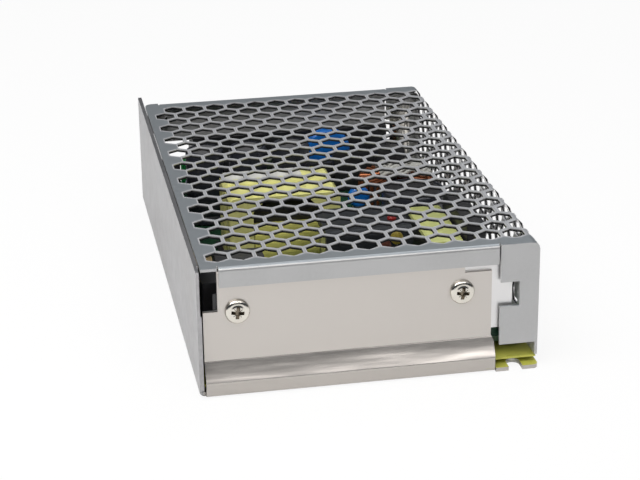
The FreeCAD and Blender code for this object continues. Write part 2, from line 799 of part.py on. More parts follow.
def make_board():
    """The circuit board, with its front right corner cut out beside the tongue."""
    body = new_body("board_sheet")
    left, right = f"{LEFT} + board_side_gap", f"{RIGHT} - board_side_gap"
    front, rear = f"{FRONT} + board_front_gap", f"{REAR} - board_rear_gap"
    edge = [
        (left, front),
        (f"{right} - board_corner_width", front),
        (f"{right} - board_corner_width", f"{front} + board_corner_depth"),
        (right, f"{front} + board_corner_depth"),
        (right, rear),
        (left, rear),
    ]
    pad(body, outline(body, "board_outline", "XY_Plane", edge, BOARD_BOTTOM), "board_gauge")
    holes = [prism(f"board_hole_{number}", x, y, BOARD_BOTTOM, "screw_radius + screw_clearance",
                   "board_gauge", SHANK_SIDES) for number, (x, y) in enumerate(corner_places(), start=1)]
    return cut("drilled_board", body, holes)


def make_board_screws():
    screws = []
    for number, (x, y) in enumerate(corner_places(), start=1):
        head = prism(f"board_screw_head_{number}", x, y, BOARD_TOP, "screw_head_radius",
                     "screw_head_height", HEAD_SIDES)
        shank = prism(f"board_screw_shank_{number}", x, y,
                      f"{BOARD_BOTTOM} - screw_reach + screw_clearance",
                      "screw_radius", "screw_reach + board_gauge - screw_clearance", SHANK_SIDES)
        screws.append(fuse(f"board_screw_{number}", [head, shank]))
    return group("board_screw_group", screws)


# ---------------------------------------------------------------- terminal block
def make_terminal_block():
    """Barrier block: an L-shaped rail with a rib on each side of every pole."""
    body = new_body("terminal_rail")
    rail = [
        (TERMINAL_FRONT, BOARD_TOP),
        (TERMINAL_REAR, BOARD_TOP),
        (TERMINAL_REAR, SHELF_TOP),
        (f"{TERMINAL_FRONT} + terminal_back", SHELF_TOP),
        (f"{TERMINAL_FRONT} + terminal_back", f"{BOARD_TOP} + terminal_back_height"),
        (TERMINAL_FRONT, f"{BOARD_TOP} + terminal_back_height"),
    ]
    length = f"pole_count * {POLE_PITCH} + rib_gauge"
    pad(body, outline(body, "rail_outline", "YZ_Plane", rail, TERMINAL_LEFT), length)
    rib = [
        (TERMINAL_FRONT, BOARD_TOP),
        (TERMINAL_REAR, BOARD_TOP),
        (TERMINAL_REAR, f"{BOARD_TOP} + terminal_height - terminal_nose"),
        (f"{TERMINAL_REAR} - terminal_nose", f"{BOARD_TOP} + terminal_height"),
        (TERMINAL_FRONT, f"{BOARD_TOP} + terminal_height"),
    ]
    first_rib = pad(body, outline(body, "rib_outline", "YZ_Plane", rib, TERMINAL_LEFT), "rib_gauge")
    ribs = body.newObject("PartDesign::LinearPattern", "ribs")
    ribs.Originals = [first_rib]
    ribs.Direction = ([item for item in body.Origin.OriginFeatures if item.Role == "X_Axis"][0], [""])
    bind(ribs, "Length", f"pole_count * {POLE_PITCH}")
    ribs.Occurrences = SIZES["pole_count"] + 1
    body.Tip = ribs
    doc.recompute()
    bores = [prism(f"shelf_bore_{number}", pole_x(number), SCREW_Y, f"{BOARD_TOP} + terminal_foot",
                   "terminal_shank_radius + screw_clearance", "terminal_shelf - terminal_foot", SHANK_SIDES)
             for number in range(SIZES["pole_count"])]
    return cut("bored_rail", body, bores)


def pole_x(number):
    """The middle of a pole, counted from 0 at the left."""
    return f"({TERMINAL_LEFT} + rib_gauge/2 + ({number} + 0.5) * {POLE_PITCH})"


def make_terminal_bars():
    """The metal bars under the clamps, one to a pole, with a pin down to the board."""
    bars = []
    for number in range(SIZES["pole_count"]):
        bar = standing_box(f"bar_plate_{number}", pole_x(number), SCREW_Y, SHELF_TOP, CLAMP_SIZE,
                           "bar_length", "bar_gauge")
        bore = prism(f"bar_bore_{number}", pole_x(number), SCREW_Y, SHELF_TOP,
                     "terminal_shank_radius + screw_clearance", "bar_gauge", SHANK_SIDES)
        bars.append(cut(f"bar_{number}", bar, bore))
    return group("bar_group", bars)


def make_terminal_clamps():
    """For each pole a captive clamp plate and its screw, which rise together."""
    for number in range(SIZES["pole_count"]):
        pole = number + 1
        x = pole_x(number)
        clamp_bottom = f"({SHELF_TOP} + bar_gauge)"
        clamp_top = f"({clamp_bottom} + clamp_gauge)"
        plate = standing_box(f"clamp_plate_{pole}", x, SCREW_Y, clamp_bottom, CLAMP_SIZE, CLAMP_SIZE,
                             "clamp_gauge")
        bore = prism(f"clamp_bore_{pole}", x, SCREW_Y, clamp_bottom,
                     "terminal_shank_radius + screw_clearance", "clamp_gauge", SHANK_SIDES)
        keep(cut(f"clamp_{pole}", plate, bore), f"terminal_clamp_{pole}")
        head = prism(f"clamp_head_{pole}", x, SCREW_Y, clamp_top, "terminal_screw_radius",
                     "terminal_screw_head", HEAD_SIDES)
        shank = prism(f"clamp_shank_{pole}", x, SCREW_Y, f"{clamp_top} - terminal_shank_length",
                      "terminal_shank_radius", "terminal_shank_length", SHANK_SIDES)
        keep(fuse(f"clamp_screw_{pole}", [head, shank]), f"terminal_screw_{pole}")


# ---------------------------------------------------------------- end screws and what they clamp
TOWARDS_REAR = Rotation(Vector(1, 0, 0), -90)
TOWARDS_FRONT = Rotation(Vector(1, 0, 0), 90)


def end_screw_places():
    height = "(case_height - end_screw_drop)"
    return [(f"({PLATE_LEFT} + end_screw_left_inset)", height),
            (f"({PLATE_RIGHT} - end_screw_right_inset)", height)]


def make_end_screws():
    """Screws with a cross recess, their heads on the outside of the end plate."""
    screws = []
    for number, (x, z) in enumerate(end_screw_places(), start=1):
        head = cylinder(f"end_head_{number}", x, PLATE_OUTER, z, "end_head_radius", "end_head_height",
                        TOWARDS_FRONT)
        shank = prism(f"end_shank_{number}", x, PLATE_OUTER, z, "screw_radius", "end_shank_length",
                      SHANK_SIDES, TOWARDS_REAR)
        face = f"{PLATE_OUTER} - end_head_height"
        reach = "end_head_radius * 0.5"
        slots = [
            box(f"end_cross_level_{number}", f"{x} - {reach}", f"{face} - 1", f"{z} - cross_width/2",
                f"2 * {reach}", "cross_depth + 1", "cross_width"),
            box(f"end_cross_upright_{number}", f"{x} - cross_width/2", f"{face} - 1", f"{z} - {reach}",
                "cross_width", "cross_depth + 1", f"2 * {reach}"),
        ]
        blank = fuse(f"end_screw_blank_{number}", [head, shank])
        screws.append(cut(f"end_screw_{number}", blank, slots))
    return group("end_screw_group", screws)


def through_bore(name, x, y, z, depth):
    """A bore along Y that clears an end screw's shank."""
    return prism(name, x, y, z, "screw_radius + screw_clearance", depth, SHANK_SIDES, TOWARDS_REAR)


def make_end_nuts():
    """Hexagonal nuts on the inner ends of the end screws."""
    nuts = []
    face = f"({PLATE_INNER} + pad_gauge + device_gauge)"
    for number, (x, z) in enumerate(end_screw_places(), start=1):
        blank = prism(f"nut_blank_{number}", x, face, z, across_flats("nut_across"), "nut_height", 6,
                      TOWARDS_REAR)
        nuts.append(cut(f"nut_{number}", blank, through_bore(f"nut_bore_{number}", x, face, z,
                                                             "nut_height")))
    return group("nut_group", nuts)


def make_pads():
    """Insulating pads between the end plate and the power devices."""
    pads = []
    for number, (x, z) in enumerate(end_screw_places(), start=1):
        bottom = f"{z} + pad_rise - pad_height"
        blank = box(f"pad_blank_{number}", f"{x} - pad_width/2", PLATE_INNER, bottom, "pad_width",
                    "pad_gauge", "pad_height")
        pads.append(cut(f"pad_{number}", blank, through_bore(f"pad_bore_{number}", x, PLATE_INNER, z,
                                                             "pad_gauge")))
    return group("pad_group", pads)


def make_device(name, x, z):
    """A flat power device with three legs down to the board."""
    face = f"({PLATE_INNER} + pad_gauge)"
    bottom = f"({z} + device_hole_drop - device_height)"
    package = box(name + "_package", f"{x} - device_width/2", face, bottom, "device_width", "device_gauge",
                  "device_height")
    legs = [box(f"{name}_leg_{step + 2}", f"{x} + {step} * lead_pitch - lead_width/2",
                f"{face} + device_gauge/2 - lead_width/2", BOARD_TOP, "lead_width", "lead_width",
                f"{bottom} - {BOARD_TOP}") for step in (-1, 0, 1)]
    bore = through_bore(name + "_bore", x, face, z, "device_gauge")
    return cut(name + "_device", fuse(name + "_blank", [package] + legs), bore)


# ---------------------------------------------------------------- transformer
CORE_X = f"({LEFT} + core_across * case_width)"
CORE_Y = f"({FRONT} + core_along * case_length)"
CORE_BOTTOM = f"({BOARD_TOP} + bobbin_height)"
WINDOW_LEFT = f"({CORE_X} - core_width/2 + core_leg_left)"
WINDOW_WIDTH = "(core_width - core_leg_left - core_leg_right)"


def make_core():
    """The taped core: a standing frame whose window the winding fills from below."""
    body = new_body("core_frame")
    low = f"({CORE_BOTTOM} + core_base_yoke)"
    high = f"({CORE_BOTTOM} + core_height - core_yoke)"
    edge = rectangle(f"{CORE_X} - core_width/2", CORE_BOTTOM, f"{CORE_X} + core_width/2",
                     f"{CORE_BOTTOM} + core_height")
    back = f"-{CORE_Y} - core_depth/2"
    pad(body, outline(body, "core_outline", "XZ_Plane", edge, back), "core_depth")
    arch = [
        (WINDOW_LEFT, low),
        (f"{WINDOW_LEFT} + {WINDOW_WIDTH}", low),
        (f"{WINDOW_LEFT} + {WINDOW_WIDTH}", f"{high} - core_arch"),
        (f"{WINDOW_LEFT} + {WINDOW_WIDTH} - core_arch", high),
        (f"{WINDOW_LEFT} + core_arch", high),
        (WINDOW_LEFT, f"{high} - core_arch"),
    ]
    window = outline(body, "core_window", "XZ_Plane", arch, f"{back} - 1")
    pocket(body, window, "core_depth + 2", backwards=True)
    whole = body.Shape.BoundBox
    base = body.Tip
    chamfer = body.newObject("PartDesign::Chamfer", "core_corners")
    picked = [f"Edge{number}" for number, edge in enumerate(base.Shape.Edges, start=1)
              if along_y(edge.BoundBox, whole.XMin, whole.ZMax) or along_y(edge.BoundBox, whole.XMax,
                                                                           whole.ZMax)]
    chamfer.Base = (base, picked)
    bind(chamfer, "Size", "core_corner")
    doc.recompute()
    return body


def make_winding():
    """The taped winding in the core's window, standing out a little at both ends."""
    body = new_body("winding_pack")
    left = f"({WINDOW_LEFT} + winding_gap)"
    right = f"({WINDOW_LEFT} + {WINDOW_WIDTH} - winding_gap)"
    low = f"({CORE_BOTTOM} + core_base_yoke)"
    high = f"({low} + winding_height)"
    crowned = [
        (left, low),
        (right, low),
        (right, f"{high} - winding_crown"),
        (f"{right} - 2 * winding_crown", high),
        (f"{left} + 2 * winding_crown", high),
        (left, f"{high} - winding_crown"),
    ]
    section = outline(body, "winding_section", "XZ_Plane", crowned,
                      f"-{CORE_Y} - core_depth/2 - winding_overhang")
    pad(body, section, "core_depth + 2 * winding_overhang")
    return body


def make_bobbin():
    """The bobbin's foot, which stands out round the core."""
    return standing_box("bobbin_foot", CORE_X, CORE_Y, BOARD_TOP, "core_width + 2 * bobbin_overhang",
                        "core_depth + 2 * bobbin_overhang", "bobbin_height")


# ---------------------------------------------------------------- parts on the board
def on_board(across, along):
    """A place given as shares of the case's width and length."""
    return f"({LEFT} + {across} * case_width)", f"({FRONT} + {along} * case_length)"


def make_output_cans():
    """A row of upright electrolytic capacitors beside the plain wall."""
    x, y = on_board("output_can_across", "output_can_along")
    for number in range(SIZES["output_can_count"]):
        can = prism(f"output_can_{number + 1}", f"{x} + {number} * output_can_spacing", y, BOARD_TOP,
                    "output_can_radius", "output_can_height", CAN_SIDES)
        keep(can, f"output_capacitor_{number + 1}")


def make_spreader():
    """A folded heat spreader: an upright leg on the board and a flat top."""
    body = new_body("spreader_sheet")
    x, y = on_board("spreader_across", "spreader_along")
    low = f"({y} - spreader_depth/2)"
    high = f"({y} + spreader_depth/2)"
    top = f"({BOARD_TOP} + spreader_height)"
    fold = [
        (low, BOARD_TOP),
        (f"{low} + spreader_gauge", BOARD_TOP),
        (f"{low} + spreader_gauge", f"{top} - spreader_gauge"),
        (high, f"{top} - spreader_gauge"),
        (high, top),
        (low, top),
    ]
    pad(body, outline(body, "spreader_fold", "YZ_Plane", fold, f"{x} - spreader_width/2"), "spreader_width")
    whole = body.Shape.BoundBox
    round_edges(body, "spreader_bend", "spreader_gauge", lambda b: along_x(b, whole.YMin, whole.ZMax))
    return body


def make_ring(name, x, y, z, radius, bore, height):
    """A flat-sided ring core that lies on the board."""
    return cut(name, prism(name + "_outer", x, y, z, radius, height, CAN_SIDES),
               prism(name + "_bore", x, y, z, bore, height, CAN_SIDES))


def make_coil(name, x, y, side):
    """One winding of the choke: a shell round a stretch of the ring, left or right."""
    low = f"{BOARD_TOP} + choke_base - coil_gauge"
    outer = make_ring(name + "_shell", x, y, low, "choke_radius + coil_gauge", "choke_bore - coil_gauge",
                      "choke_gauge + 2 * coil_gauge")
    hollow = make_ring(name + "_hollow", x, y, f"{BOARD_TOP} + choke_base", "choke_radius", "choke_bore",
                       "choke_gauge")
    reach = "(choke_radius + coil_gauge)"
    stretch = box(name + "_stretch", f"{x} + coil_parting" if side > 0 else f"{x} - {reach} - 1",
                  f"{y} - coil_width/2", low, f"{reach} + 1 - coil_parting", "coil_width",
                  "choke_gauge + 2 * coil_gauge")
    common = doc.addObject("Part::Common", name + "_part")
    common.Base = outer
    common.Tool = stretch
    return cut(name, common, hollow)


def make_disc(name, x, y, lift, radius, gauge):
    """A disc part that stands on edge, facing the ends of the case, on two straight legs."""
    centre_z = f"({BOARD_TOP} + {lift} + {radius})"
    face = f"({y} - {gauge}/2)"
    disc = prism(name + "_disc", x, face, centre_z, radius, gauge, CAN_SIDES, TOWARDS_REAR)
    legs = [standing_box(f"{name}_leg_{side + 2}", f"{x} + {side} * {radius}/2", y, BOARD_TOP, "lead_width",
                         "lead_width", f"{lift} + {radius}") for side in (-1, 1)]
    return fuse(name, [disc] + legs)


def make_fuse():
    """A glass tube fuse lying across the case, with an end cap over each end."""
    x = f"({LEFT} + fuse_across * case_width)"
    y = f"({REAR} - fuse_rear_gap)"
    z = f"({BOARD_TOP} + fuse_lift + fuse_radius)"
    towards_right = Rotation(Vector(0, 1, 0), 90)
    tube = prism("fuse_tube", f"{x} - fuse_length/2", y, z, "fuse_radius * 0.9", "fuse_length", HEAD_SIDES,
                 towards_right)
    caps = []
    for number, start in ((1, f"{x} - fuse_length/2"), (2, f"{x} + fuse_length/2 - fuse_cap")):
        cap = prism(f"fuse_cap_{number}", start, y, z, "fuse_radius", "fuse_cap", HEAD_SIDES, towards_right)
        clip = box(f"fuse_clip_{number}", start, f"{y} - lead_width", BOARD_TOP, "fuse_cap",
                   "2 * lead_width", "fuse_lift + fuse_radius/2")
        caps += [cap, clip]
    return fuse("fuse_assembly", [tube] + caps)


def make_trimmer():
    """The output voltage trimmer: a square body with a slotted rotor on top."""
    x = f"({TERMINAL_LEFT} - 2 * led_gap - trimmer_gap - trimmer_size/2)"
    y = f"({REAR} - board_rear_gap - led_gap - trimmer_size/2)"
    top = f"({BOARD_TOP} + trimmer_height)"
    case = standing_box("trimmer_case", x, y, BOARD_TOP, "trimmer_size", "trimmer_size", "trimmer_height")
    well = prism("trimmer_well", x, y, f"{top} - rotor_height/2", "rotor_radius + rotor_gap",
                 "rotor_height", HEAD_SIDES)
    keep(cut("trimmer_shell", case, well), "trimmer_body")
    disc = prism("rotor_disc", x, y, f"{top} - rotor_height/2 + rotor_gap/2", "rotor_radius",
                 "rotor_height", HEAD_SIDES)
    slot = standing_box("rotor_slot_tool", x, y, f"{top} + rotor_gap/2", "2 * rotor_radius + 1",
                        "rotor_slot", "rotor_height")
    keep(cut("rotor_disc_slotted", disc, slot), "trimmer_rotor")


def make_led():
    """The output indicator: a round lamp on a square foot."""
    x = f"({TERMINAL_LEFT} - led_gap)"
    y = f"({REAR} - led_rear_gap)"
    lamp = prism("led_lamp", x, y, BOARD_TOP, "led_radius", "led_height", HEAD_SIDES)
    foot = standing_box("led_foot", x, y, BOARD_TOP, "3 * led_radius", "3 * led_radius", "led_radius")
    return fuse("led_assembly", [lamp, foot])


def make_row(name, count, across, along, pitch, width, depth, height):
    """Small like parts in a row across the board."""
    x, y = on_board(across, along)
    return group(name, [standing_box(f"{name}_{number}", f"{x} + {number} * ({pitch})", y, BOARD_TOP, width,
                                     depth, height) for number in range(count)])


chassis_body = make_chassis()
plate_bores = [through_bore(f"plate_bore_{number}", x, f"{PLATE_OUTER} - 1", z, "base_gauge + 2")
               for number, (x, z) in enumerate(end_screw_places(), start=1)]
keep(cut("chassis_drilled", chassis_body, plate_bores), "chassis")
keep(make_standoffs(), "standoffs")
keep(make_sheet_of_insulation(), "insulating_sheet")
keep(make_board(), "circuit_board")
keep(make_board_screws(), "board_screws")
keep(make_terminal_block(), "terminal_block")
keep(make_terminal_bars(), "terminal_bars")
make_terminal_clamps()
keep(make_end_screws(), "end_screws")
keep(make_end_nuts(), "end_nuts")
keep(make_pads(), "insulating_pads")
for label, place_of_screw in (("power_transistor", 0), ("output_rectifier", 1)):
    keep(make_device(label, *end_screw_places()[place_of_screw]), label)
keep(make_core(), "transformer_core")
keep(make_winding(), "transformer_winding")
keep(make_bobbin(), "transformer_bobbin")
strip = box("label_strip", f"{CORE_X} - core_width/2 + core_corner",
            f"{CORE_Y} + core_depth/2 - label_depth", f"{CORE_BOTTOM} + core_height",
            "core_width - core_corner - label_right_gap", "label_depth", "label_gauge")
keep(strip, "transformer_label")
make_output_cans()
mains_can_x, mains_can_y = on_board("mains_can_across", "mains_can_along")
keep(prism("mains_can", mains_can_x, mains_can_y, BOARD_TOP, "mains_can_radius", "mains_can_height",
           CAN_SIDES), "mains_capacitor")
keep(make_spreader(), "heat_spreader")

film_x, film_y = on_board("film_across", "film_along")
keep(standing_box("film_box", film_x, film_y, BOARD_TOP, "film_width", "film_length_share * case_length",
                  "film_height"), "film_capacitor")
filter_length = "(filter_length_share * case_length)"
keep(box("filter_box", f"{film_x} + film_width/2 + neighbour_gap", f"{film_y} - {filter_length}/2",
         BOARD_TOP, "filter_width", filter_length, "filter_height"), "filter_capacitor")

choke_x, choke_y = on_board("choke_across", "choke_along")
ring = make_ring("choke_ring", choke_x, choke_y, f"{BOARD_TOP} + choke_base", "choke_radius", "choke_bore",
                 "choke_gauge")
keep(ring, "choke_core")
keep(make_coil("left_coil", choke_x, choke_y, -1), "choke_winding_left")
keep(make_coil("right_coil", choke_x, choke_y, 1), "choke_winding_right")
keep(standing_box("choke_foot", choke_x, choke_y, BOARD_TOP, "2 * choke_radius", "2 * choke_bore",
                  "choke_base - coil_gauge"), "choke_base")
bead_z = f"{BOARD_TOP} + choke_base + choke_gauge + coil_gauge"
keep(box("bead_blank", f"{choke_x} - choke_radius/2", f"{choke_y} - bead_width/2", bead_z,
         "1.5 * choke_radius", "bead_width", "bead_height"), "adhesive_bead")

inductor_x, inductor_y = on_board("inductor_across", "inductor_along")
keep(standing_box("inductor_box", inductor_x, inductor_y, BOARD_TOP, "inductor_width", "inductor_depth",
                  "inductor_height"), "output_inductor")
driver_x, driver_y = on_board("driver_across", "driver_along")
keep(standing_box("driver_box", driver_x, driver_y, BOARD_TOP, "driver_width", "driver_depth",
                  "driver_height"), "driver_transformer")
varistor_y = f"({REAR} - varistor_rear_gap)"
keep(make_disc("varistor_disc", f"({LEFT} + varistor_across * case_width)", varistor_y, "varistor_lift",
               "varistor_radius", "varistor_gauge"), "varistor")
thermistor_y = f"({REAR} - thermistor_rear_gap)"
keep(make_disc("thermistor_disc", f"({LEFT} + thermistor_across * case_width)", thermistor_y,
               "thermistor_lift", "thermistor_radius", "varistor_gauge"), "thermistor")
disc_x, disc_y = on_board("disc_across", "disc_along")
keep(make_disc("safety_disc", disc_x, disc_y, "disc_lift", "disc_radius", "disc_gauge"), "safety_capacitor")
keep(standing_box("bridge_package", f"({LEFT} + bridge_across * case_width)",
                  f"({REAR} - bridge_rear_gap)", BOARD_TOP,
                  "bridge_width", "bridge_depth", "bridge_height"), "bridge_rectifier")
keep(make_fuse(), "mains_fuse")
make_trimmer()
keep(make_led(), "indicator_led")
keep(make_row("resistor", SIZES["resistor_count"], "resistor_across", "resistor_along",
              "resistor_pitch_share * case_width", "resistor_size", "resistor_length", "resistor_size"),
     "power_resistors")
snubber_x, snubber_y = on_board("snubber_across", "snubber_along")
keep(standing_box("snubber_box", snubber_x, snubber_y, BOARD_TOP, "snubber_width", "snubber_depth",
                  "snubber_height"), "snubber_capacitor")
keep(make_row("bypass", SIZES["bypass_count"], "bypass_across", "bypass_along", "bypass_pitch",
              "bypass_size", "bypass_size", "bypass_height"), "bypass_capacitors")
keep(cut("punched_cover", make_cover_blank(), make_punches()), "mesh_cover")

doc.recompute()
failed = [item.Label for item in doc.Objects if "Invalid" in item.State or "Error" in item.State]
if failed:
    raise RuntimeError(f"failed objects: {failed}")
for part in PARTS:
    if part.Shape.isNull() or not part.Shape.isValid():
        raise RuntimeError(f"{part.Label} has no valid shape")
os.makedirs("parts", exist_ok=True)
for part in PARTS:
    part.Shape.exportStep(f"parts/{part.Label}.step")
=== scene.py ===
import json
import math
import random

import bmesh
import bpy
from mathutils import Matrix, Vector


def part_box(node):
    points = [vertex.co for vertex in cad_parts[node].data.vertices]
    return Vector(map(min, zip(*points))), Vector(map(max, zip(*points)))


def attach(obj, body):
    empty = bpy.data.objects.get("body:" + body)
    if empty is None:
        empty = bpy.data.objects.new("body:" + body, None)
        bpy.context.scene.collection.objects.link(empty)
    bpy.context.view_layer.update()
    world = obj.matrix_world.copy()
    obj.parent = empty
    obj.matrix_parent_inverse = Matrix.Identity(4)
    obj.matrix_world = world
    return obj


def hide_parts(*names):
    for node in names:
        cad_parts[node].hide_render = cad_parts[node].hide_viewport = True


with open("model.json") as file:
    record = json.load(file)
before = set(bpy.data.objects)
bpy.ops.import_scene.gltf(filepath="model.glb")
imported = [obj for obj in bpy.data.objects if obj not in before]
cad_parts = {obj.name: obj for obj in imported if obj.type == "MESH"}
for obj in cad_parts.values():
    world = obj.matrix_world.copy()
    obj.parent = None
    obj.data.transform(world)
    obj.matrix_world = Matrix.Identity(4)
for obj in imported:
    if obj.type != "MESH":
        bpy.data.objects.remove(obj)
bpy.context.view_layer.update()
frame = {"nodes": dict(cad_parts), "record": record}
MM = 0.001
SEED = 11

# Camera of the main view: place in metres, heading, pitch and roll in degrees, lens for a 36 mm sensor.
CAMERA_PLACE = (-0.10034, -0.55023, 0.23721)
CAMERA_HEADING = 10.36
CAMERA_PITCH = -21.92
CAMERA_ROLL = -0.74
CAMERA_LENS = 107.1
SENSOR_WIDTH = 36.0

# The boxes of the chassis and of the cover, the gauges of their sheets, and the height of the board's face.
CASE_LOW, CASE_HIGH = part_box("chassis")
COVER_LOW, COVER_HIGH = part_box("mesh_cover")
BASE_GAUGE = 1.2 * MM
COVER_GAUGE = 0.8 * MM
BOARD_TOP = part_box("circuit_board")[1].z

# The bend between the cover's roof and its side wall.
BEND_RADIUS = 2.0 * MM
BEND_START_X = CASE_HIGH.x - BEND_RADIUS
BEND_START_Z = CASE_HIGH.z - BEND_RADIUS
BEND_LENGTH = (BEND_RADIUS - COVER_GAUGE / 2) * math.pi / 2

# The cover's punching. Places across the sheet are counted flat, over the roof and down the side wall,
# and half a hole is measured across its flats.
HOLE_PITCH = 7.04 * MM
HOLE_ROW_PITCH = 6.32 * MM
HOLE_HALF = 5.95 / 2 * MM
ROWS_OF_A_KIND = 11
FIRST_HOLE_X = COVER_LOW.x + 5.5 * MM
FIRST_HOLE_Y = (COVER_LOW.y + COVER_HIGH.y - (2 * ROWS_OF_A_KIND - 1) * HOLE_ROW_PITCH) / 2
# The even and the odd rows: shift across and along from the first hole, and the holes in each row.
HOLE_ROWS = ((0.0, 0.0, 17), (HOLE_PITCH / 2, HOLE_ROW_PITCH, 16))
# How far the webs' painted highlight may reach past the middle of the outermost holes, across and along.
REACH_ACROSS = 3.39 * MM
REACH_ALONG = 3.82 * MM
# From here to the rear the cover has no holes, and its flange hangs down.
BEHIND_HOLES = COVER_HIGH.y - 3.4 * MM
# Painted highlights on the webs between the holes and on the raised burr round each hole, also used on the
# insides, and painted shade, near black, on the lower part of the hole walls.
WEB_HIGHLIGHT_TONE = (0.66, 0.655, 0.68, 1.0)
PAINTED_HIGHLIGHT_TONE = (0.88, 0.88, 0.88, 1.0)
TORN_SHADE_TONE = (0.02, 0.02, 0.022, 1.0)
TORN_SHADE_START, TORN_SHADE_END = 0.15 * MM, 0.35 * MM

# The end plate's outer face, and the joggle below it, which is shaded rounder than its mesh.
PLATE_FACE = CASE_LOW.y + 2.6 * MM
JOGGLE_LOW = 4.2 * MM
JOGGLE_HIGH = 10.2 * MM
# How far the joggle's normal leans upwards: share of the way up the joggle, and degrees.
JOGGLE_LEANS = ((0.0, 0.0), (0.08, 28.0), (0.38, 29.5), (0.60, 26.5), (0.91, 18.5), (0.95, 31.0), (1.0, 0.0))
# The lean also waves by a few degrees, and grows from left to right, here in radians for each metre.
JOGGLE_RIPPLE = math.radians(16.0)
JOGGLE_TWIST = math.radians(45.0)

# The base's flat corner beside the end plate, where the film on it shows.
CORNER_LEFT = CASE_HIGH.x - 15.5 * MM
CORNER_REAR = CASE_LOW.y + 9.5 * MM


# -------------------------------- shader helpers
class Graph:
    """Short names for the shader nodes of one material or world."""

    def __init__(self, name="finish", owners=bpy.data.materials):
        """A new material, or a new world if the worlds are given as owners."""
        self.owner = owners.new(name)
        self.owner.use_nodes = True
        self.nodes = self.owner.node_tree.nodes
        self.links = self.owner.node_tree.links
        self.surface = self.nodes.get("Principled BSDF")
        self.coordinates = self.node("ShaderNodeTexCoord").outputs
        self.place = self.coordinates["Object"]

    def put(self, value, socket):
        """Link an output to a socket, or set a plain number or colour on it."""
        if isinstance(value, bpy.types.NodeSocket):
            self.links.new(value, socket)
        elif value is not None:
            socket.default_value = value

    def node(self, kind, **inputs):
        """A new node, with its inputs given by name and _ in place of a space."""
        node = self.nodes.new(kind)
        for name, value in inputs.items():
            self.put(value, node.inputs[name.replace("_", " ")])
        return node

    def math(self, operation, *values):
        node = self.node("ShaderNodeMath")
        node.operation = operation
        for value, socket in zip(values, node.inputs):
            self.put(value, socket)
        return node.outputs[0]

    def times(self, first, second):
        return self.math("MULTIPLY", first, second)

    def plus(self, first, second):
        return self.math("ADD", first, second)

    def minus(self, first, second):
        return self.math("SUBTRACT", first, second)

    def over(self, value, limit):
        return self.math("GREATER_THAN", value, limit)

    def under(self, value, limit):
        return self.math("LESS_THAN", value, limit)

    def near(self, value, middle, reach):
        return self.math("COMPARE", value, middle, reach)

    def axes(self, vector):
        return self.node("ShaderNodeSeparateXYZ", Vector=vector).outputs

    def stretched(self, scale):
        """The object's coordinates, scaled along each axis."""
        return self.node("ShaderNodeMapping", Vector=self.place, Scale=scale).outputs[0]

    def noise(self, scale, detail=3.0, roughness=0.5, vector=None):
        place = self.place if vector is None else vector
        return self.node("ShaderNodeTexNoise", Vector=place, Scale=scale, Detail=detail,
                         Roughness=roughness).outputs["Fac"]

    def span(self, value, low, high, to_low, to_high):
        """Carry the stretch from low to high over to the stretch from to_low to to_high."""
        return self.node("ShaderNodeMapRange", Value=value, From_Min=low, From_Max=high,
                         To_Min=to_low, To_Max=to_high).outputs[0]

    def steps(self, value, low, high):
        """0 at low, 1 at high, and a ramp between."""
        return self.span(value, low, high, 0.0, 1.0)

    def profile(self, share, points):
        """An angle read off a line through points of share and degrees, in radians."""
        largest = max(degrees for _, degrees in points)
        node = self.node("ShaderNodeValToRGB", Fac=share)
        stops = [(position, shade(WHITE, degrees / largest)) for position, degrees in points]
        fill_ramp(node.color_ramp, stops)
        return self.times(node.outputs[0], math.radians(largest))

    def mix(self, amount, first, second):
        """Two colours mixed: inputs 6 and 7 and output 2 are the node's colour sockets."""
        node = self.node("ShaderNodeMix", Factor=amount)
        node.data_type = "RGBA"
        self.put(first, node.inputs[6])
        self.put(second, node.inputs[7])
        return node.outputs[2]

    def lean_upwards(self, angle, amount):
        """A normal that faces the front and leans upwards by an angle, in place of the mesh's own."""
        front = self.node("ShaderNodeCombineXYZ", Y=self.times(self.math("COSINE", angle), -1.0),
                          Z=self.math("SINE", angle))
        turned = self.node("ShaderNodeVectorTransform", Vector=front.outputs[0])
        turned.vector_type = "NORMAL"
        turned.convert_from, turned.convert_to = "OBJECT", "WORLD"
        faces_front = self.under(self.axes(self.coordinates["Normal"])["Y"], -0.5)
        blend = self.node("ShaderNodeMix", Factor=self.times(amount, faces_front))
        blend.data_type = "VECTOR"
        # Inputs 4 and 5 and output 1 are the node's vector sockets.
        self.put(self.node("ShaderNodeNewGeometry").outputs["Normal"], blend.inputs[4])
        self.put(turned.outputs[0], blend.inputs[5])
        return blend.outputs[1]

    def bump(self, height, strength, distance, normal=None):
        node = self.node("ShaderNodeBump", Normal=normal, Strength=strength, Distance=distance, Height=height)
        self.put(node.outputs[0], self.surface.inputs["Normal"])

    def finish(self, colour, roughness, metallic=0.0, specular=0.5):
        """Set the surface's main sockets, and hand over the finished material."""
        self.put(colour, self.surface.inputs["Base Color"])
        self.put(roughness, self.surface.inputs["Roughness"])
        self.put(metallic, self.surface.inputs["Metallic"])
        self.put(specular, self.surface.inputs["Specular IOR Level"])
        return self.owner

    def for_camera(self, usual, seen, amount, output):
        """Mix a shader that the camera sees, by some amount, into the usual one."""
        camera_ray = self.node("ShaderNodeLightPath").outputs["Is Camera Ray"]
        blend = self.node("ShaderNodeMixShader", Fac=self.times(camera_ray, amount))
        self.put(usual.outputs[0], blend.inputs[1])
        self.put(seen.outputs[0], blend.inputs[2])
        self.put(blend.outputs[0], self.nodes[output].inputs["Surface"])


WHITE = (1.0, 1.0, 1.0, 1.0)


def shade(colour, factor):
    """A darker or lighter shade of a colour, with alpha."""
    return tuple(min(1.0, channel * factor) for channel in colour[:3]) + (1.0,)


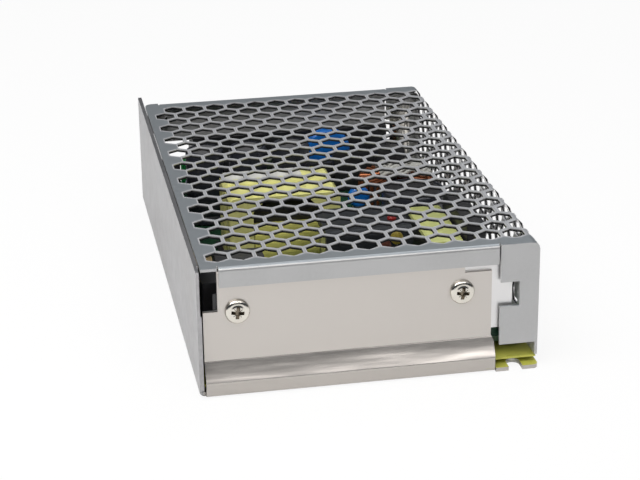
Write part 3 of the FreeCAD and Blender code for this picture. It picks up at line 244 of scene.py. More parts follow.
def fill_ramp(ramp, stops):
    """Give a colour ramp its stops, from pairs of place and colour."""
    ramp.elements.remove(ramp.elements[1])
    for number, (position, colour) in enumerate(stops):
        stop = ramp.elements[0] if number == 0 else ramp.elements.new(position)
        stop.position = position
        stop.color = colour


def plain(colour, roughness, metallic=0.0, scale=400.0, spread=0.12, bump=0.0):
    """A surface with a slightly uneven colour and gloss."""
    graph = Graph()
    grain = graph.noise(scale)
    tone = graph.mix(grain, shade(colour, 1 - spread), shade(colour, 1 + spread))
    gloss = graph.span(grain, 0.3, 0.7, roughness - 0.05, roughness + 0.05)
    if bump:
        graph.bump(grain, bump, 0.0002)
    return graph.finish(tone, gloss, metallic)


def folded_sheet(colour, wall_shade_colour, tongue_light_colour, film_colour):
    """Plated sheet of the chassis, one metal in three tones: warm and satin on its end plate as a painted
    reflection, darker and cooler on its wall as painted shade, lighter on its tongue as painted light.
    """
    graph = Graph()
    streaks = graph.noise(1.0, 4.0, 0.65, graph.stretched((90.0, 300.0, 900.0)))
    waves = graph.noise(1.0, 2.0, 0.5, graph.stretched((30.0, 300.0, 500.0)))
    clouds = graph.noise(26.0, 2.0)
    speckle = graph.steps(graph.noise(240.0, 4.0, 0.7), 0.35, 0.65)

    # Where the plate, the wall, the joggle, the lip below it and the film on the base's corner are.
    x, y, z = graph.axes(graph.place)
    off_wall = graph.steps(x, CASE_LOW.x + BASE_GAUGE, CASE_LOW.x + BASE_GAUGE + 0.2 * MM)
    on_plate = graph.steps(y, PLATE_FACE + 0.9 * MM, PLATE_FACE + 0.7 * MM)
    front = graph.times(graph.under(y, PLATE_FACE + 0.1 * MM), off_wall)
    up_joggle = graph.steps(z, JOGGLE_LOW, JOGGLE_HIGH)
    in_joggle = graph.times(graph.near(up_joggle, 0.5, 0.49), front)
    lip = graph.times(graph.under(z, JOGGLE_LOW), front)
    on_corner = graph.times(graph.over(x, CORNER_LEFT), graph.under(y, CORNER_REAR))
    filmed = graph.times(on_corner, graph.near(z, BASE_GAUGE, 0.02 * MM))

    wall_tone = graph.mix(speckle, shade(wall_shade_colour, 0.88), shade(wall_shade_colour, 1.1))
    tone = graph.mix(off_wall, wall_tone, graph.mix(on_plate, tongue_light_colour, colour))
    tone = graph.mix(graph.times(graph.steps(clouds, 0.3, 0.7), 0.12), tone, shade(colour, 1.2))
    # Painted reflection: a dark, streaky band over the upper part of the joggle.
    upper = graph.times(graph.steps(up_joggle, 0.35, 0.6), in_joggle)
    painted_dark_reflection = graph.times(upper, graph.steps(streaks, 0.42, 0.62))
    tone = graph.mix(graph.times(painted_dark_reflection, 0.35), tone, shade(colour, 0.40))
    # Painted shade: the lip below the joggle is darker.
    tone = graph.mix(lip, tone, shade(colour, 0.86))
    tone = graph.mix(filmed, tone, film_colour)

    ripple = graph.times(graph.minus(waves, 0.45), JOGGLE_RIPPLE)
    uneven = graph.plus(ripple, graph.times(x, JOGGLE_TWIST))
    lean = graph.times(graph.plus(graph.profile(up_joggle, JOGGLE_LEANS), uneven), in_joggle)
    graph.bump(streaks, 0.03, 0.0001, graph.lean_upwards(lean, front))
    gloss = graph.minus(graph.span(clouds, 0.3, 0.7, 0.3, 0.36), graph.times(in_joggle, 0.1))
    metallic = graph.minus(graph.span(filmed, 0.0, 1.0, 0.85, 0.0), graph.times(in_joggle, 0.2))
    return graph.finish(tone, gloss, metallic)


def to_middle(graph, value, first, pitch, count, reach):
    """How far a place is from the nearest of some evenly spaced middles, and 1 if it is past their reach."""
    start = first - pitch / 2
    repeated = graph.math("FLOORED_MODULO", graph.minus(value, start), pitch)
    distance = graph.math("ABSOLUTE", graph.minus(repeated, pitch / 2))
    half_span = pitch * (count - 1) / 2
    from_centre = graph.math("ABSOLUTE", graph.minus(value, first + half_span))
    return distance, graph.over(from_centre, half_span + reach)


def hole_distance(graph):
    """How far a point of the cover is from the nearest hole's centre, counted towards its flats."""
    x, y, z = graph.axes(graph.place)
    below = graph.math("MAXIMUM", graph.minus(BEND_START_Z, z), 0.0)
    past_roof = graph.over(x, BEND_START_X)
    round_bend = graph.times(past_roof, graph.span(z, CASE_HIGH.z, BEND_START_Z, 0.0, BEND_LENGTH))
    flat = graph.plus(graph.math("MINIMUM", x, BEND_START_X), graph.plus(below, round_bend))
    # Regular hexagons would lie in rows 0.866 of a pitch apart. These are drawn out to meet their wider rows.
    slope = 0.75 * HOLE_PITCH / HOLE_ROW_PITCH
    nearest = 1.0
    for shift_x, shift_y, count in HOLE_ROWS:
        across, past_side = to_middle(graph, flat, FIRST_HOLE_X + shift_x, HOLE_PITCH, count, REACH_ACROSS)
        along, past_end = to_middle(graph, y, FIRST_HOLE_Y + shift_y, 2 * HOLE_ROW_PITCH, ROWS_OF_A_KIND,
                                    REACH_ALONG)
        slanted = graph.plus(graph.times(across, 0.5), graph.times(along, slope))
        distance = graph.plus(graph.math("MAXIMUM", across, slanted), graph.plus(past_side, past_end))
        nearest = graph.math("MINIMUM", distance, nearest)
    return nearest


def perforated_sheet(colour, roof_reflection_colour):
    """The cover: neutral grey, with a bluish painted reflection on its roof, painted highlights on its webs,
    its burrs and the insides of its wall and rear flange, and painted shade on the lower part of its hole
    walls.
    """
    graph = Graph()
    x, y, z = graph.axes(graph.place)
    normal_x, normal_y, normal_z = graph.axes(graph.coordinates["Normal"])
    uneven = graph.steps(graph.noise(420.0, 2.0), 0.38, 0.62)
    grain = graph.noise(900.0, 3.0)
    clouds = graph.noise(45.0, 2.0)

    # Where the walls of the holes, their burrs and the webs between them are.
    away = hole_distance(graph)
    hole_side = graph.steps(away, HOLE_HALF + 0.05 * MM, HOLE_HALF + 0.02 * MM)
    web = graph.steps(away, HOLE_HALF + 1.0 * MM, HOLE_HALF + 0.6 * MM)
    burr = graph.near(away, HOLE_HALF + 0.13 * MM, 0.1 * MM)
    below_face = graph.math("MINIMUM", graph.minus(CASE_HIGH.z, z), graph.minus(CASE_HIGH.x, x))
    torn_and_shaded = graph.times(hole_side, graph.steps(below_face, TORN_SHADE_START, TORN_SHADE_END))
    faces_left = graph.under(normal_x, -0.8)
    faces_front = graph.times(graph.under(normal_y, -0.8), graph.over(y, BEHIND_HOLES))
    inside = graph.times(graph.math("MAXIMUM", faces_left, faces_front), graph.minus(1.0, hole_side))

    tone = graph.mix(grain, shade(colour, 0.93), shade(colour, 1.07))
    tone = graph.mix(graph.steps(clouds, 0.35, 0.7), tone, shade(colour, 1.08))
    # Roof faces get a brighter, bluish tint: a painted reflection.
    tone = graph.mix(graph.over(normal_z, 0.7), tone, roof_reflection_colour)
    # Painted highlights on the webs, on the burrs and on the insides of the wall and rear flange.
    tone = graph.mix(graph.times(web, 0.6), tone, WEB_HIGHLIGHT_TONE)
    tone = graph.mix(graph.times(burr, graph.span(uneven, 0.0, 1.0, 0.25, 0.85)), tone, PAINTED_HIGHLIGHT_TONE)
    tone = graph.mix(graph.times(inside, 0.35), tone, PAINTED_HIGHLIGHT_TONE)
    # Painted shade, near black, on the lower part of the hole walls, where a punch leaves its fracture zone.
    tone = graph.mix(torn_and_shaded, tone, TORN_SHADE_TONE)

    graph.bump(graph.times(burr, -1.0), 0.25, 0.0001)
    dull = graph.math("MAXIMUM", graph.times(web, 0.25), graph.times(inside, 0.5))
    metallic = graph.times(graph.minus(0.8, dull), graph.minus(1.0, torn_and_shaded))
    return graph.finish(tone, graph.span(grain, 0.3, 0.7, 0.34, 0.42), metallic,
                        graph.span(torn_and_shaded, 0.0, 1.0, 0.5, 0.1))


def taped(colour, band, axis):
    """Glossy tape in overlapping turns: thin darker lines at a regular spacing along one axis."""
    graph = Graph()
    wander = graph.times(graph.noise(60.0, 1.0), 0.3 * MM)
    turn = graph.math("FRACT", graph.math("DIVIDE", graph.plus(graph.axes(graph.place)[axis], wander), band))
    line = graph.near(turn, 0.06, 0.06)
    clouds = graph.noise(120.0, 2.0)
    tone = graph.mix(clouds, shade(colour, 0.86), shade(colour, 1.08))
    tone = graph.mix(graph.times(line, 0.45), tone, shade(colour, 0.55))
    graph.bump(turn, 0.2, 0.0001)
    return graph.finish(tone, graph.span(clouds, 0.3, 0.7, 0.22, 0.34))


def laminate(colour):
    """The circuit board: green, with paler tracks under the mask."""
    graph = Graph()
    brick = graph.node("ShaderNodeTexBrick", Vector=graph.place, Scale=220.0, Mortar_Size=0.04,
                       Color1=shade(colour, 1.0), Color2=shade(colour, 0.85), Mortar=shade(colour, 1.6))
    patches = graph.steps(graph.noise(70.0, 1.0), 0.48, 0.52)
    tone = graph.mix(patches, brick.outputs["Color"], shade(colour, 1.3))
    graph.bump(patches, 0.15, 0.0001)
    return graph.finish(tone, graph.span(patches, 0.0, 1.0, 0.34, 0.26))


def clear_tube(colour):
    """Thin glass of the fuse tube."""
    graph = Graph()
    gloss = graph.span(graph.noise(300.0), 0.3, 0.7, 0.03, 0.09)
    graph.put(0.85, graph.surface.inputs["Transmission Weight"])
    return graph.finish(graph.mix(graph.noise(200.0), shade(colour, 0.95), shade(colour, 1.05)), gloss)


# All finishes. Those of the record's material slots have the slots' names.
FINISHES = {
    # The chassis sheet's tones: its end plate, its wall as painted shade, its tongue as painted light, and
    # the film on its corner.
    "case_sheet": folded_sheet((0.575, 0.545, 0.515, 1.0), (0.37, 0.37, 0.38, 1.0),
                               (0.78, 0.78, 0.785, 1.0), (0.50, 0.50, 0.09, 1.0)),
    # The cover's grey, and the bluish tint of its roof as a painted reflection.
    "cover_sheet": perforated_sheet((0.455, 0.458, 0.462), (0.46, 0.495, 0.52, 1.0)),
    "board_laminate": laminate((0.016, 0.06, 0.03)),
    "sheet_film": plain((0.56, 0.56, 0.10), 0.3, scale=60.0),
    "plated_steel": plain((0.70, 0.67, 0.61), 0.13, 1.0, scale=900.0, spread=0.05),
    "black_plastic": plain((0.022, 0.022, 0.025), 0.42, scale=1500.0, bump=0.1),
    "core_tape": taped((0.90, 0.88, 0.34), 12.0 * MM, 1),
    "winding_tape": taped((0.74, 0.72, 0.20), 4.4 * MM, 2),
    "label_strip": plain((0.72, 0.72, 0.69), 0.6, scale=200.0, spread=0.04),
    "can_sleeve": plain((0.03, 0.033, 0.045), 0.28, scale=90.0),
    "heat_metal": plain((0.030, 0.034, 0.040), 0.45, 0.2, scale=700.0, bump=0.06),
    "film_box": plain((0.66, 0.70, 0.26), 0.3, scale=70.0, spread=0.07),
    "ferrite": plain((0.05, 0.05, 0.055), 0.6, scale=900.0, bump=0.2),
    "copper_winding": plain((0.33, 0.11, 0.045), 0.25, 0.7, scale=160.0, spread=0.2),
    "adhesive": plain((0.50, 0.50, 0.47), 0.3, scale=300.0, spread=0.2, bump=0.2),
    "blue_resin": plain((0.01, 0.17, 0.62), 0.26, scale=260.0, bump=0.15),
    "dark_resin": plain((0.03, 0.045, 0.03), 0.3, scale=260.0, bump=0.15),
    "fuse_glass": clear_tube((0.86, 0.9, 0.9)),
    "pad_film": plain((0.05, 0.052, 0.055), 0.6, scale=500.0),
    "green_lens": plain((0.02, 0.35, 0.07), 0.2, scale=120.0),
    "resistor_body": plain((0.55, 0.42, 0.24), 0.5, scale=500.0, bump=0.1),
    "trimmer_blue": plain((0.02, 0.10, 0.34), 0.4, scale=500.0),
    "trimmer_white": plain((0.78, 0.78, 0.72), 0.45, scale=500.0, spread=0.05),
    "red_resin": plain((0.30, 0.015, 0.012), 0.3, scale=260.0),
    "yellow_resin": plain((0.34, 0.26, 0.04), 0.35, scale=260.0),
    "brown_resin": plain((0.10, 0.03, 0.018), 0.35, scale=260.0),
    # Darker steel for screw recesses and near black for the scores on can ends: painted shade.
    "dark_recess": plain((0.05, 0.045, 0.04), 0.5, 0.6, scale=700.0),
    "shaded_steel": plain((0.20, 0.17, 0.13), 0.22, 0.9, scale=900.0),
    "can_top": plain((0.17, 0.17, 0.175), 0.6, 0.3, scale=500.0),
    "black_top": plain((0.02, 0.02, 0.022), 0.5, scale=300.0),
}
for name, material in FINISHES.items():
    material.name = name


# -------------------------------- mesh helpers
UP = (0, 0, 1)
# The faces of a solid with a lower ring and an upper ring of four corners.
BOX_FACES = ((0, 1, 2, 3), (4, 5, 6, 7), (0, 1, 5, 4), (1, 2, 6, 5), (2, 3, 7, 6), (3, 0, 4, 7))


def arc(centre, reach, start, end, steps):
    """Points of an elliptic arc: its centre, its reach along both axes, and its angles in degrees."""
    turns = [math.radians(start + (end - start) * step / steps) for step in range(steps + 1)]
    return [(centre[0] + reach[0] * math.cos(turn), centre[1] + reach[1] * math.sin(turn)) for turn in turns]


def skin(rings, sides, closed=False):
    """Faces over rings of points that follow each other, with flat ends unless the last meets the first."""
    faces = []
    for ring in range(rings if closed else rings - 1):
        following = (ring + 1) % rings
        for step in range(sides):
            after = (step + 1) % sides
            faces.append((ring * sides + step, ring * sides + after,
                          following * sides + after, following * sides + step))
    if not closed:
        faces.append(tuple(reversed(range(sides))))
        faces.append(tuple((rings - 1) * sides + step for step in range(sides)))
    return faces


def new_object(name, data):
    """An object in the scene."""
    item = bpy.data.objects.new(name, data)
    bpy.context.scene.collection.objects.link(item)
    return item


class Shape:
    """Points and faces of one piece, gathered from simple forms. Each face keeps the number of its finish."""

    def __init__(self):
        self.points = []
        self.faces = []
        self.finish_of_face = []
        self.finish = 0

    def add(self, points, faces):
        base = len(self.points)
        self.points += [Vector(point) for point in points]
        self.faces += [tuple(base + index for index in face) for face in faces]
        self.finish_of_face += [self.finish] * len(faces)

    def block(self, low, high, bevel):
        """A box with bevelled edges."""
        form = bmesh.new()
        bmesh.ops.create_cube(form, size=1.0)
        low, high = Vector(low), Vector(high)
        for vertex in form.verts:
            vertex.co = [start + (share + 0.5) * (end - start)
                         for start, share, end in zip(low, vertex.co, high)]
        bmesh.ops.bevel(form, geom=form.edges[:], offset=bevel, segments=2, profile=0.5, affect="EDGES")
        form.verts.index_update()
        self.add([vertex.co.copy() for vertex in form.verts],
                 [[vertex.index for vertex in face.verts] for face in form.faces])
        form.free()

    def lathe(self, profile, centre, axis=UP, sides=48):
        """A solid turned round an axis from (radius, height) points, with flat ends."""
        turn = Vector(UP).rotation_difference(Vector(axis).normalized()).to_matrix()
        centre = Vector(centre)
        points = []
        for radius, height in profile:
            for step in range(sides):
                angle = 2 * math.pi * step / sides
                local = Vector((radius * math.cos(angle), radius * math.sin(angle), height))
                points.append(centre + turn @ local)
        self.add(points, skin(len(profile), sides))

    def tube(self, path, radius, sides=8, closed=False):
        """A round wire along a path."""
        path = [Vector(point) for point in path]
        count = len(path)
        points = []
        side = None
        for index, point in enumerate(path):
            before = path[index - 1] if index or closed else point
            after = path[(index + 1) % count] if index + 1 < count or closed else point
            heading = (after - before).normalized()
            if side is None:
                side = heading.orthogonal().normalized()
            side = (side - heading * side.dot(heading)).normalized()
            third = heading.cross(side)
            for step in range(sides):
                angle = 2 * math.pi * step / sides
                points.append(point + radius * (side * math.cos(angle) + third * math.sin(angle)))
        self.add(points, skin(count, sides, closed))

    def make_object(self, name, smooth_below=0.0):
        """The shape as an object of its own, smooth over edges that bend by less than some degrees."""
        mesh = bpy.data.meshes.new(name)
        mesh.from_pydata([tuple(point) for point in self.points], [], self.faces)
        form = bmesh.new()
        form.from_mesh(mesh)
        bmesh.ops.recalc_face_normals(form, faces=form.faces[:])
        for face in form.faces:
            face.smooth = True
        for edge in form.edges:
            edge.smooth = edge.calc_face_angle(0.0) < math.radians(smooth_below)
        form.to_mesh(mesh)
        form.free()
        return new_object(name, mesh)

    def build(self, name, slot, hides=(), finishes=(), body="case", smooth_below=38.0):
        """Make the piece, with its slot's finish first and then any others, and let it ride on its body."""
        item = self.make_object(name, smooth_below)
        for finish in (slot, *finishes):
            item.data.materials.append(FINISHES[finish])
        for polygon, number in zip(item.data.polygons, self.finish_of_face):
            polygon.material_index = number
        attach(item, body)
        if hides:
            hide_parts(*hides)


# -------------------------------- finishes of the CAD nodes
for part in frame["record"]["subparts"]:
    node_mesh = frame["nodes"][part["node"]].data
    node_mesh.materials.clear()
    node_mesh.materials.append(FINISHES[part["material_slot"]])


# -------------------------------- screws
# A head's outline in shares of its radius and height: its side, its rounded rim and its low crown.
HEAD_OUTLINE = ([(0.97, 0.0), (1.0, 0.12)] + arc((0.64, 0.3), (0.36, 0.5), 0, 90, 8)
                + [(0.5, 0.89), (0.35, 0.955), (0.15, 1.0)])
# How far the cutters rise past the head, and how far a face lies under the crown to count as the recess.
CUTTER_RISE = 0.5 * MM
RECESS_DROP = 0.08 * MM
SCORE_HALF_WIDTH = 0.09 * MM


def cutter(degrees, foot, mouth):
    """A cutting tool along an angle, between two rectangles given as start, end, half width and height."""
    angle = math.radians(degrees)
    along = Vector((math.cos(angle), math.sin(angle), 0))
    across = Vector((-math.sin(angle), math.cos(angle), 0))
    shape = Shape()
    corners = []
    for start, end, half_width, height in (foot, mouth):
        for length, side in ((start, -1), (end, -1), (end, 1), (start, 1)):
            corners.append(along * length + across * side * half_width + Vector((0, 0, height)))
    shape.add(corners, BOX_FACES)
    return shape.make_object("cutter")


def cross_cutters(height, recess):
    """Two tapered bars for a cross recess, and four fine scores between them."""
    reach, width, depth = recess
    above = height + CUTTER_RISE
    foot = (-0.42 * reach, 0.42 * reach, 0.31 * width, height - depth)
    mouth = (-1.1 * reach, 1.1 * reach, 0.5 * width, above)
    score = (0.324 * reach, 0.72 * reach, SCORE_HALF_WIDTH)
    bars = [cutter(degrees, foot, mouth) for degrees in (0, 90)]
    return bars + [cutter(degrees, (*score, height - depth / 4), (*score, above))
                   for degrees in (45, 135, 225, 315)]


def screw_head(shape, centre, axis, up, radius, height, recess):
    """Add a head whose cross recess, given as reach, width and depth, takes finish 1."""
    turn = Matrix((Vector(up).cross(Vector(axis)), Vector(up), Vector(axis))).transposed()
    for column in range(3):
        turn.col[column] = turn.col[column].normalized()
    head = Shape()
    head.lathe([(radius * across, height * level) for across, level in HEAD_OUTLINE], (0, 0, 0), sides=64)
    solid = head.make_object("head")
    cutters = cross_cutters(height, recess)
    for tool in cutters:
        modifier = solid.modifiers.new("cut", "BOOLEAN")
        modifier.object = tool
        modifier.operation = "DIFFERENCE"
        modifier.solver = "EXACT"
    bpy.context.view_layer.update()
    cut_mesh = bpy.data.meshes.new_from_object(solid.evaluated_get(bpy.context.evaluated_depsgraph_get()))
    for polygon in cut_mesh.polygons:
        share = math.hypot(polygon.center.x, polygon.center.y) / recess[0]
        crown = height * (0.98 - 0.2 * share)
        # Recess faces take finish 1, a darker steel: painted shade.
        shape.finish = 1 if share < 1 and polygon.center.z < crown - RECESS_DROP else 0
        corners = [Vector(centre) + turn @ cut_mesh.vertices[index].co for index in polygon.vertices]
        shape.add(corners, [tuple(range(len(corners)))])
    shape.finish = 0
    spare_meshes = [cut_mesh] + [item.data for item in [solid] + cutters]
    for item in [solid] + cutters:
        bpy.data.objects.remove(item)
    for mesh in spare_meshes:
        bpy.data.meshes.remove(mesh)


def end_screws():
    """The two clamping screws of the end plate, drawn a little wider and flatter than their solids."""
    low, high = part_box("end_screws")
    radius = (high.z - low.z) / 2
    solid_height, head_height = 2.2 * MM, 1.7 * MM
    recess = (0.66 * radius, 1.2 * MM, 1.2 * MM)
    shape = Shape()
    for x in (low.x + radius, high.x - radius):
        base = Vector((x, low.y + solid_height, (low.z + high.z) / 2))
        screw_head(shape, base, (0, -1, 0), (0.12, 0, 1), 1.03 * radius, head_height, recess)
        shape.lathe([(1.5 * MM, 0), (1.5 * MM, 11.0 * MM)], base, (0, 1, 0), 20)
    shape.build("clamping_screws", "plated_steel", ["end_screws"], ["shaded_steel"])


def terminal_clamps():
    """For each pole the screw and the clamp plate under it. Each screw is turned a little further."""
    head_height = 2.1 * MM
    for pole in range(1, 8):
        body = f"clamp_{pole}"
        low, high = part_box(f"terminal_screw_{pole}")
        radius = (high.x - low.x) / 2
        middle = (low + high) / 2
        tilt = 0.35 * pole
        shape = Shape()
        screw_head(shape, (middle.x, middle.y, high.z - head_height), UP, (math.sin(tilt), math.cos(tilt), 0),
                   radius, head_height, (radius * 0.62, 1.0 * MM, 1.2 * MM))
        shape.lathe([(1.7 * MM, 0), (1.7 * MM, high.z - head_height - low.z)],
                    (middle.x, middle.y, low.z), UP, 20)
        shape.build(f"screw_of_pole_{pole}", "plated_steel", [f"terminal_screw_{pole}"],
                    ["shaded_steel"], body)
        plate = Shape()
        plate.block(*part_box(f"terminal_clamp_{pole}"), 0.15 * MM)
        plate.build(f"clamp_of_pole_{pole}", "plated_steel", [f"terminal_clamp_{pole}"], body=body)


# -------------------------------- circuit parts
def can(node, name, top_finish):
    """An electrolytic can: sleeve with a groove near its foot and a rolled shoulder, and a scored end."""
    low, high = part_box(node)
    radius = (high.y - low.y) / 2
    centre = Vector(((low.x + high.x) / 2, (low.y + high.y) / 2, low.z))
    height = high.z - low.z
    lip = 0.5 * MM
    groove = 2.4 * MM
    sleeve = Shape()
    sleeve.lathe([(radius - 0.6 * MM, 0), (radius - 0.1 * MM, 0.5 * MM), (radius, groove),
                  (radius - 0.5 * MM, groove + 0.7 * MM), (radius, groove + 1.4 * MM),
                  (radius, height - 1.0 * MM), (radius - 0.35 * MM, height - 0.25 * MM),
                  (radius - 1.0 * MM, height), (radius - 1.5 * MM, height),
                  (radius - 1.6 * MM, height - lip)], centre)
    sleeve.build(name, "can_sleeve", [node])
    end = Shape()
    end.finish = 1
    end.lathe([(radius - 1.5 * MM, 0), (radius - 1.5 * MM, 0.35 * MM), (radius - 2.2 * MM, 0.4 * MM)],
              centre + Vector((0, 0, height - lip - 0.1 * MM)))
    # The scores take finish 2, near black: painted shade in their grooves.
    end.finish = 2
    top = centre + Vector((0, 0, height - lip + 0.3 * MM))
    for angle in (0.4, 0.4 + math.pi / 2):
        reach = (radius - 2.6 * MM) * Vector((math.cos(angle), math.sin(angle), 0))
        end.tube([top - reach, top + reach], 0.14 * MM, 6)
    end.build(f"{name}_end", "can_sleeve", (), [top_finish, "dark_recess"])


def disc_part(node, name, slot, share=1.0):
    """A dipped disc on two wire legs that stand in the board, drawn at a share of its CAD radius."""
    low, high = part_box(node)
    radius = (high.x - low.x) / 2 * share
    half_gauge = (high.y - low.y) / 2
    rounding = 0.7 * half_gauge
    centre = Vector((low.x + radius, (low.y + high.y) / 2, high.z - radius))
    face = radius * 0.35
    rim = arc((radius - rounding, 0), (rounding, half_gauge), -90, 90, 12)
    shape = Shape()
    shape.lathe([(face, -half_gauge), *rim, (face, half_gauge)], centre, (0, 1, 0), 56)
    shape.build(name, slot, [node])
    legs = Shape()
    for x in (centre.x - radius / 2, centre.x + radius / 2):
        legs.tube([(x, centre.y, BOARD_TOP), (x, centre.y, centre.z - radius / 2)], 0.4 * MM)
    legs.build(f"{name}_legs", "plated_steel")


def choke():
    """Two windings of round wire, each turn a rounded loop round the ring's section."""
    low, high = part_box("choke_core")
    centre = (low + high) / 2
    bore = 5.5 * MM
    wire = 0.6 * MM
    corner = 0.7 * MM
    near, far = bore - wire + corner, (high.x - low.x) / 2 + wire - corner
    bottom, top = low.z - wire + corner, high.z + wire - corner
    corners = (((far, bottom), -90), ((far, top), 0), ((near, top), 90), ((near, bottom), 180))
    turns, spread = 11, 124
    for side, facing in (("left", 180), ("right", 0)):
        shape = Shape()
        for turn in range(turns):
            angle = math.radians(facing - spread / 2 + spread * turn / (turns - 1))
            away = Vector((math.cos(angle), math.sin(angle), 0))
            loop = []
            for middle, start in corners:
                for reach, height in arc(middle, (corner, corner), start, start + 90, 3):
                    loop.append(Vector((centre.x, centre.y, height)) + away * reach)
            shape.tube(loop, wire * 0.97, closed=True)
        shape.build(f"copper_turns_{side}", "copper_winding", [f"choke_winding_{side}"])


def adhesive(chance):
    """Set adhesive drawn in strands over the choke's front edge."""
    low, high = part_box("adhesive_bead")
    strands, steps = 9, 24
    widest = 0.7 * MM
    shape = Shape()
    for strand in range(strands):
        y = low.y + (high.y - low.y) * (strand + 0.5) / strands
        phase = chance.uniform(0, 6)
        path = []
        for step in range(steps + 1):
            share = step / steps
            rise = 0.5 + 0.5 * math.sin(share * 14 + phase * 2)
            path.append((low.x + (high.x - low.x) * share, y + math.sin(share * 9 + phase) * 0.5 * MM,
                         low.z + widest + (high.z - low.z - 2 * widest) * rise))
        shape.tube(path, chance.uniform(0.45, 0.8) * MM)
    shape.build("adhesive_strands", "adhesive", ["adhesive_bead"], smooth_below=80.0)


def fuse():
    """Glass tube, two end caps in clips, and the thin wire inside."""
    low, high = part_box("mains_fuse")
    radius = (high.y - low.y) / 2
    middle = Vector((0, (low.y + high.y) / 2, high.z - radius))
    cap = 4.8 * MM
    tube = Shape()
    tube.lathe([(radius * 0.9, 0), (radius * 0.9, high.x - low.x - 2 * cap)],
               middle + Vector((low.x + cap, 0, 0)), (1, 0, 0), 32)
    tube.build("fuse_tube", "fuse_glass")
    metal = Shape()
    clip_half_width = Vector((0, 0.9 * MM, 0))
    for end, way, clip_start in ((low.x, 1, low.x + 0.8 * MM), (high.x, -1, high.x - 3.8 * MM)):
        metal.lathe([(radius * 0.8, 0), (radius, 0.4 * MM), (radius, cap), (radius * 0.9, cap + 0.2 * MM)],
                    middle + Vector((end, 0, 0)), (way, 0, 0), 32)
        metal.block(Vector((clip_start, middle.y, low.z)) - clip_half_width,
                    Vector((clip_start + 3.0 * MM, middle.y, middle.z - radius * 0.9)) + clip_half_width,
                    0.1 * MM)
    left, right = (middle + Vector((end, 0, 0)) for end in (low.x, high.x))
    inset = Vector((4 * MM, 0, -0.3 * MM))
    metal.tube([left + inset, right - inset], 0.12 * MM, 6)
    metal.build("fuse_caps", "plated_steel", ["mains_fuse"])


def soft_box(node, slot, rounding):
    """A moulded box with softened edges in place of sharp ones."""
    shape = Shape()
    shape.block(*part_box(node), rounding)
    shape.build(f"soft_{node}", slot, [node])


def film_capacitor():
    """A softened box whose sides are dark: a thin black skin round it, up to just below its top, is painted
    shade.
    """
    low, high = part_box("film_capacitor")
    shade_shell = Vector((0.15 * MM, 0.15 * MM, 0))
    shape = Shape()
    shape.block(low, high, 0.8 * MM)
    shape.finish = 1
    shape.block(low - shade_shell, high + shade_shell - Vector((0, 0, 1.2 * MM)), 0.3 * MM)
    shape.build("soft_film_capacitor", "film_box", ["film_capacitor"], ["black_top"])


def lamp():
    """The output lamp: a domed lens on a round flange, a little lower and further right than its solid."""
    low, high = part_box("indicator_led")
    lower, further_right = 1.8 * MM, 0.8 * MM
    radius = 1.5 * MM
    flange = 1.25 * radius
    height = high.z - low.z - lower
    centre = ((low.x + high.x) / 2 + further_right, (low.y + high.y) / 2, low.z)
    shape = Shape()
    shape.lathe([(flange, 0), (flange, 1.0 * MM), (radius, 1.1 * MM),
                 *arc((0, height - radius), (radius, radius), 0, 80, 8)], centre, sides=32)
    shape.build("lamp_lens", "green_lens", ["indicator_led"])


def core_tape():
    """Two bands of tape over the transformer's core, bevelled along its upper edges."""
    low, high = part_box("transformer_core")
    edge = 1.2 * MM
    foot = low.z + 1 * MM

    def section(gauge):
        left, right, top = low.x - gauge, high.x + gauge, high.z + gauge
        return [(left, foot), (left, high.z - edge), (low.x + edge, top),
                (high.x - edge, top), (right, high.z - edge), (right, foot)]

    ring = section(0.14 * MM) + section(0.0)[::-1]
    count, half = len(ring), len(ring) // 2
    shape = Shape()
    for start, end in ((low.y + 1.3 * MM, low.y + 11.4 * MM), (low.y + 12.4 * MM, high.y - 5.2 * MM)):
        points = [(x, start, z) for x, z in ring] + [(x, end, z) for x, z in ring]
        faces = [(index, (index + 1) % count, (index + 1) % count + count, index + count)
                 for index in range(count)]
        for index in range(half - 1):
            front = (index, index + 1, count - 2 - index, count - 1 - index)
            faces += [front, tuple(corner + count for corner in front)]
        shape.add(points, faces)
    shape.build("core_tape_bands", "core_tape")


def winding_tape():
    """The winding as a pack of tape turns, each a little further in than the one below it."""
    low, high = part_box("transformer_winding")
    layers = 5
    layer_height = (high.z - low.z) / layers
    pack = Shape()
    for layer in range(layers):
        inset = 0.22 * MM * layer
        pack.block((low.x, low.y + inset, low.z + layer_height * layer),
                   (high.x, high.y - inset, low.z + layer_height * (layer + 1)), 0.35 * MM)
    pack.build("winding_turns", "winding_tape", ["transformer_winding"])


def bobbin_throat_and_shade():
    """A black block in the core's window, between the winding and the core's top, wide below and narrow
    above: the bobbin's throat, drawn black as painted shade.
    """
    low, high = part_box("transformer_winding")
    core_low, core_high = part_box("transformer_core")
    throat = Shape()
    for inset, bottom, top in ((0.3 * MM, high.z - 1.0 * MM, core_high.z - 4.6 * MM),
                               (3.6 * MM, core_high.z - 4.8 * MM, core_high.z - 1.6 * MM)):
        throat.block((low.x + inset, core_low.y + 3.5 * MM, bottom),
                     (high.x - inset, core_high.y - 3.5 * MM, top), 0.2 * MM)
    throat.build("bobbin_throat_and_shade", "black_plastic")


# -------------------------------- small parts of the board
# Length and width of each kind in millimetres, the kinds to draw from, and how many places are tried.
SMALL_SIZES = {"resistor": (9.0, 2.8), "diode": (8.0, 2.8), "chip": (3.4, 2.0), "can": (5.4, 5.4),
               "disc": (5.6, 2.6)}
SMALL_KINDS = ("resistor", "resistor", "diode", "chip", "can", "disc")
PLACES_TRIED = 900
CLEARANCE = 0.5 * MM
# A CAD part that hangs lower than this over the board leaves no room under it.
HEADROOM = 9 * MM


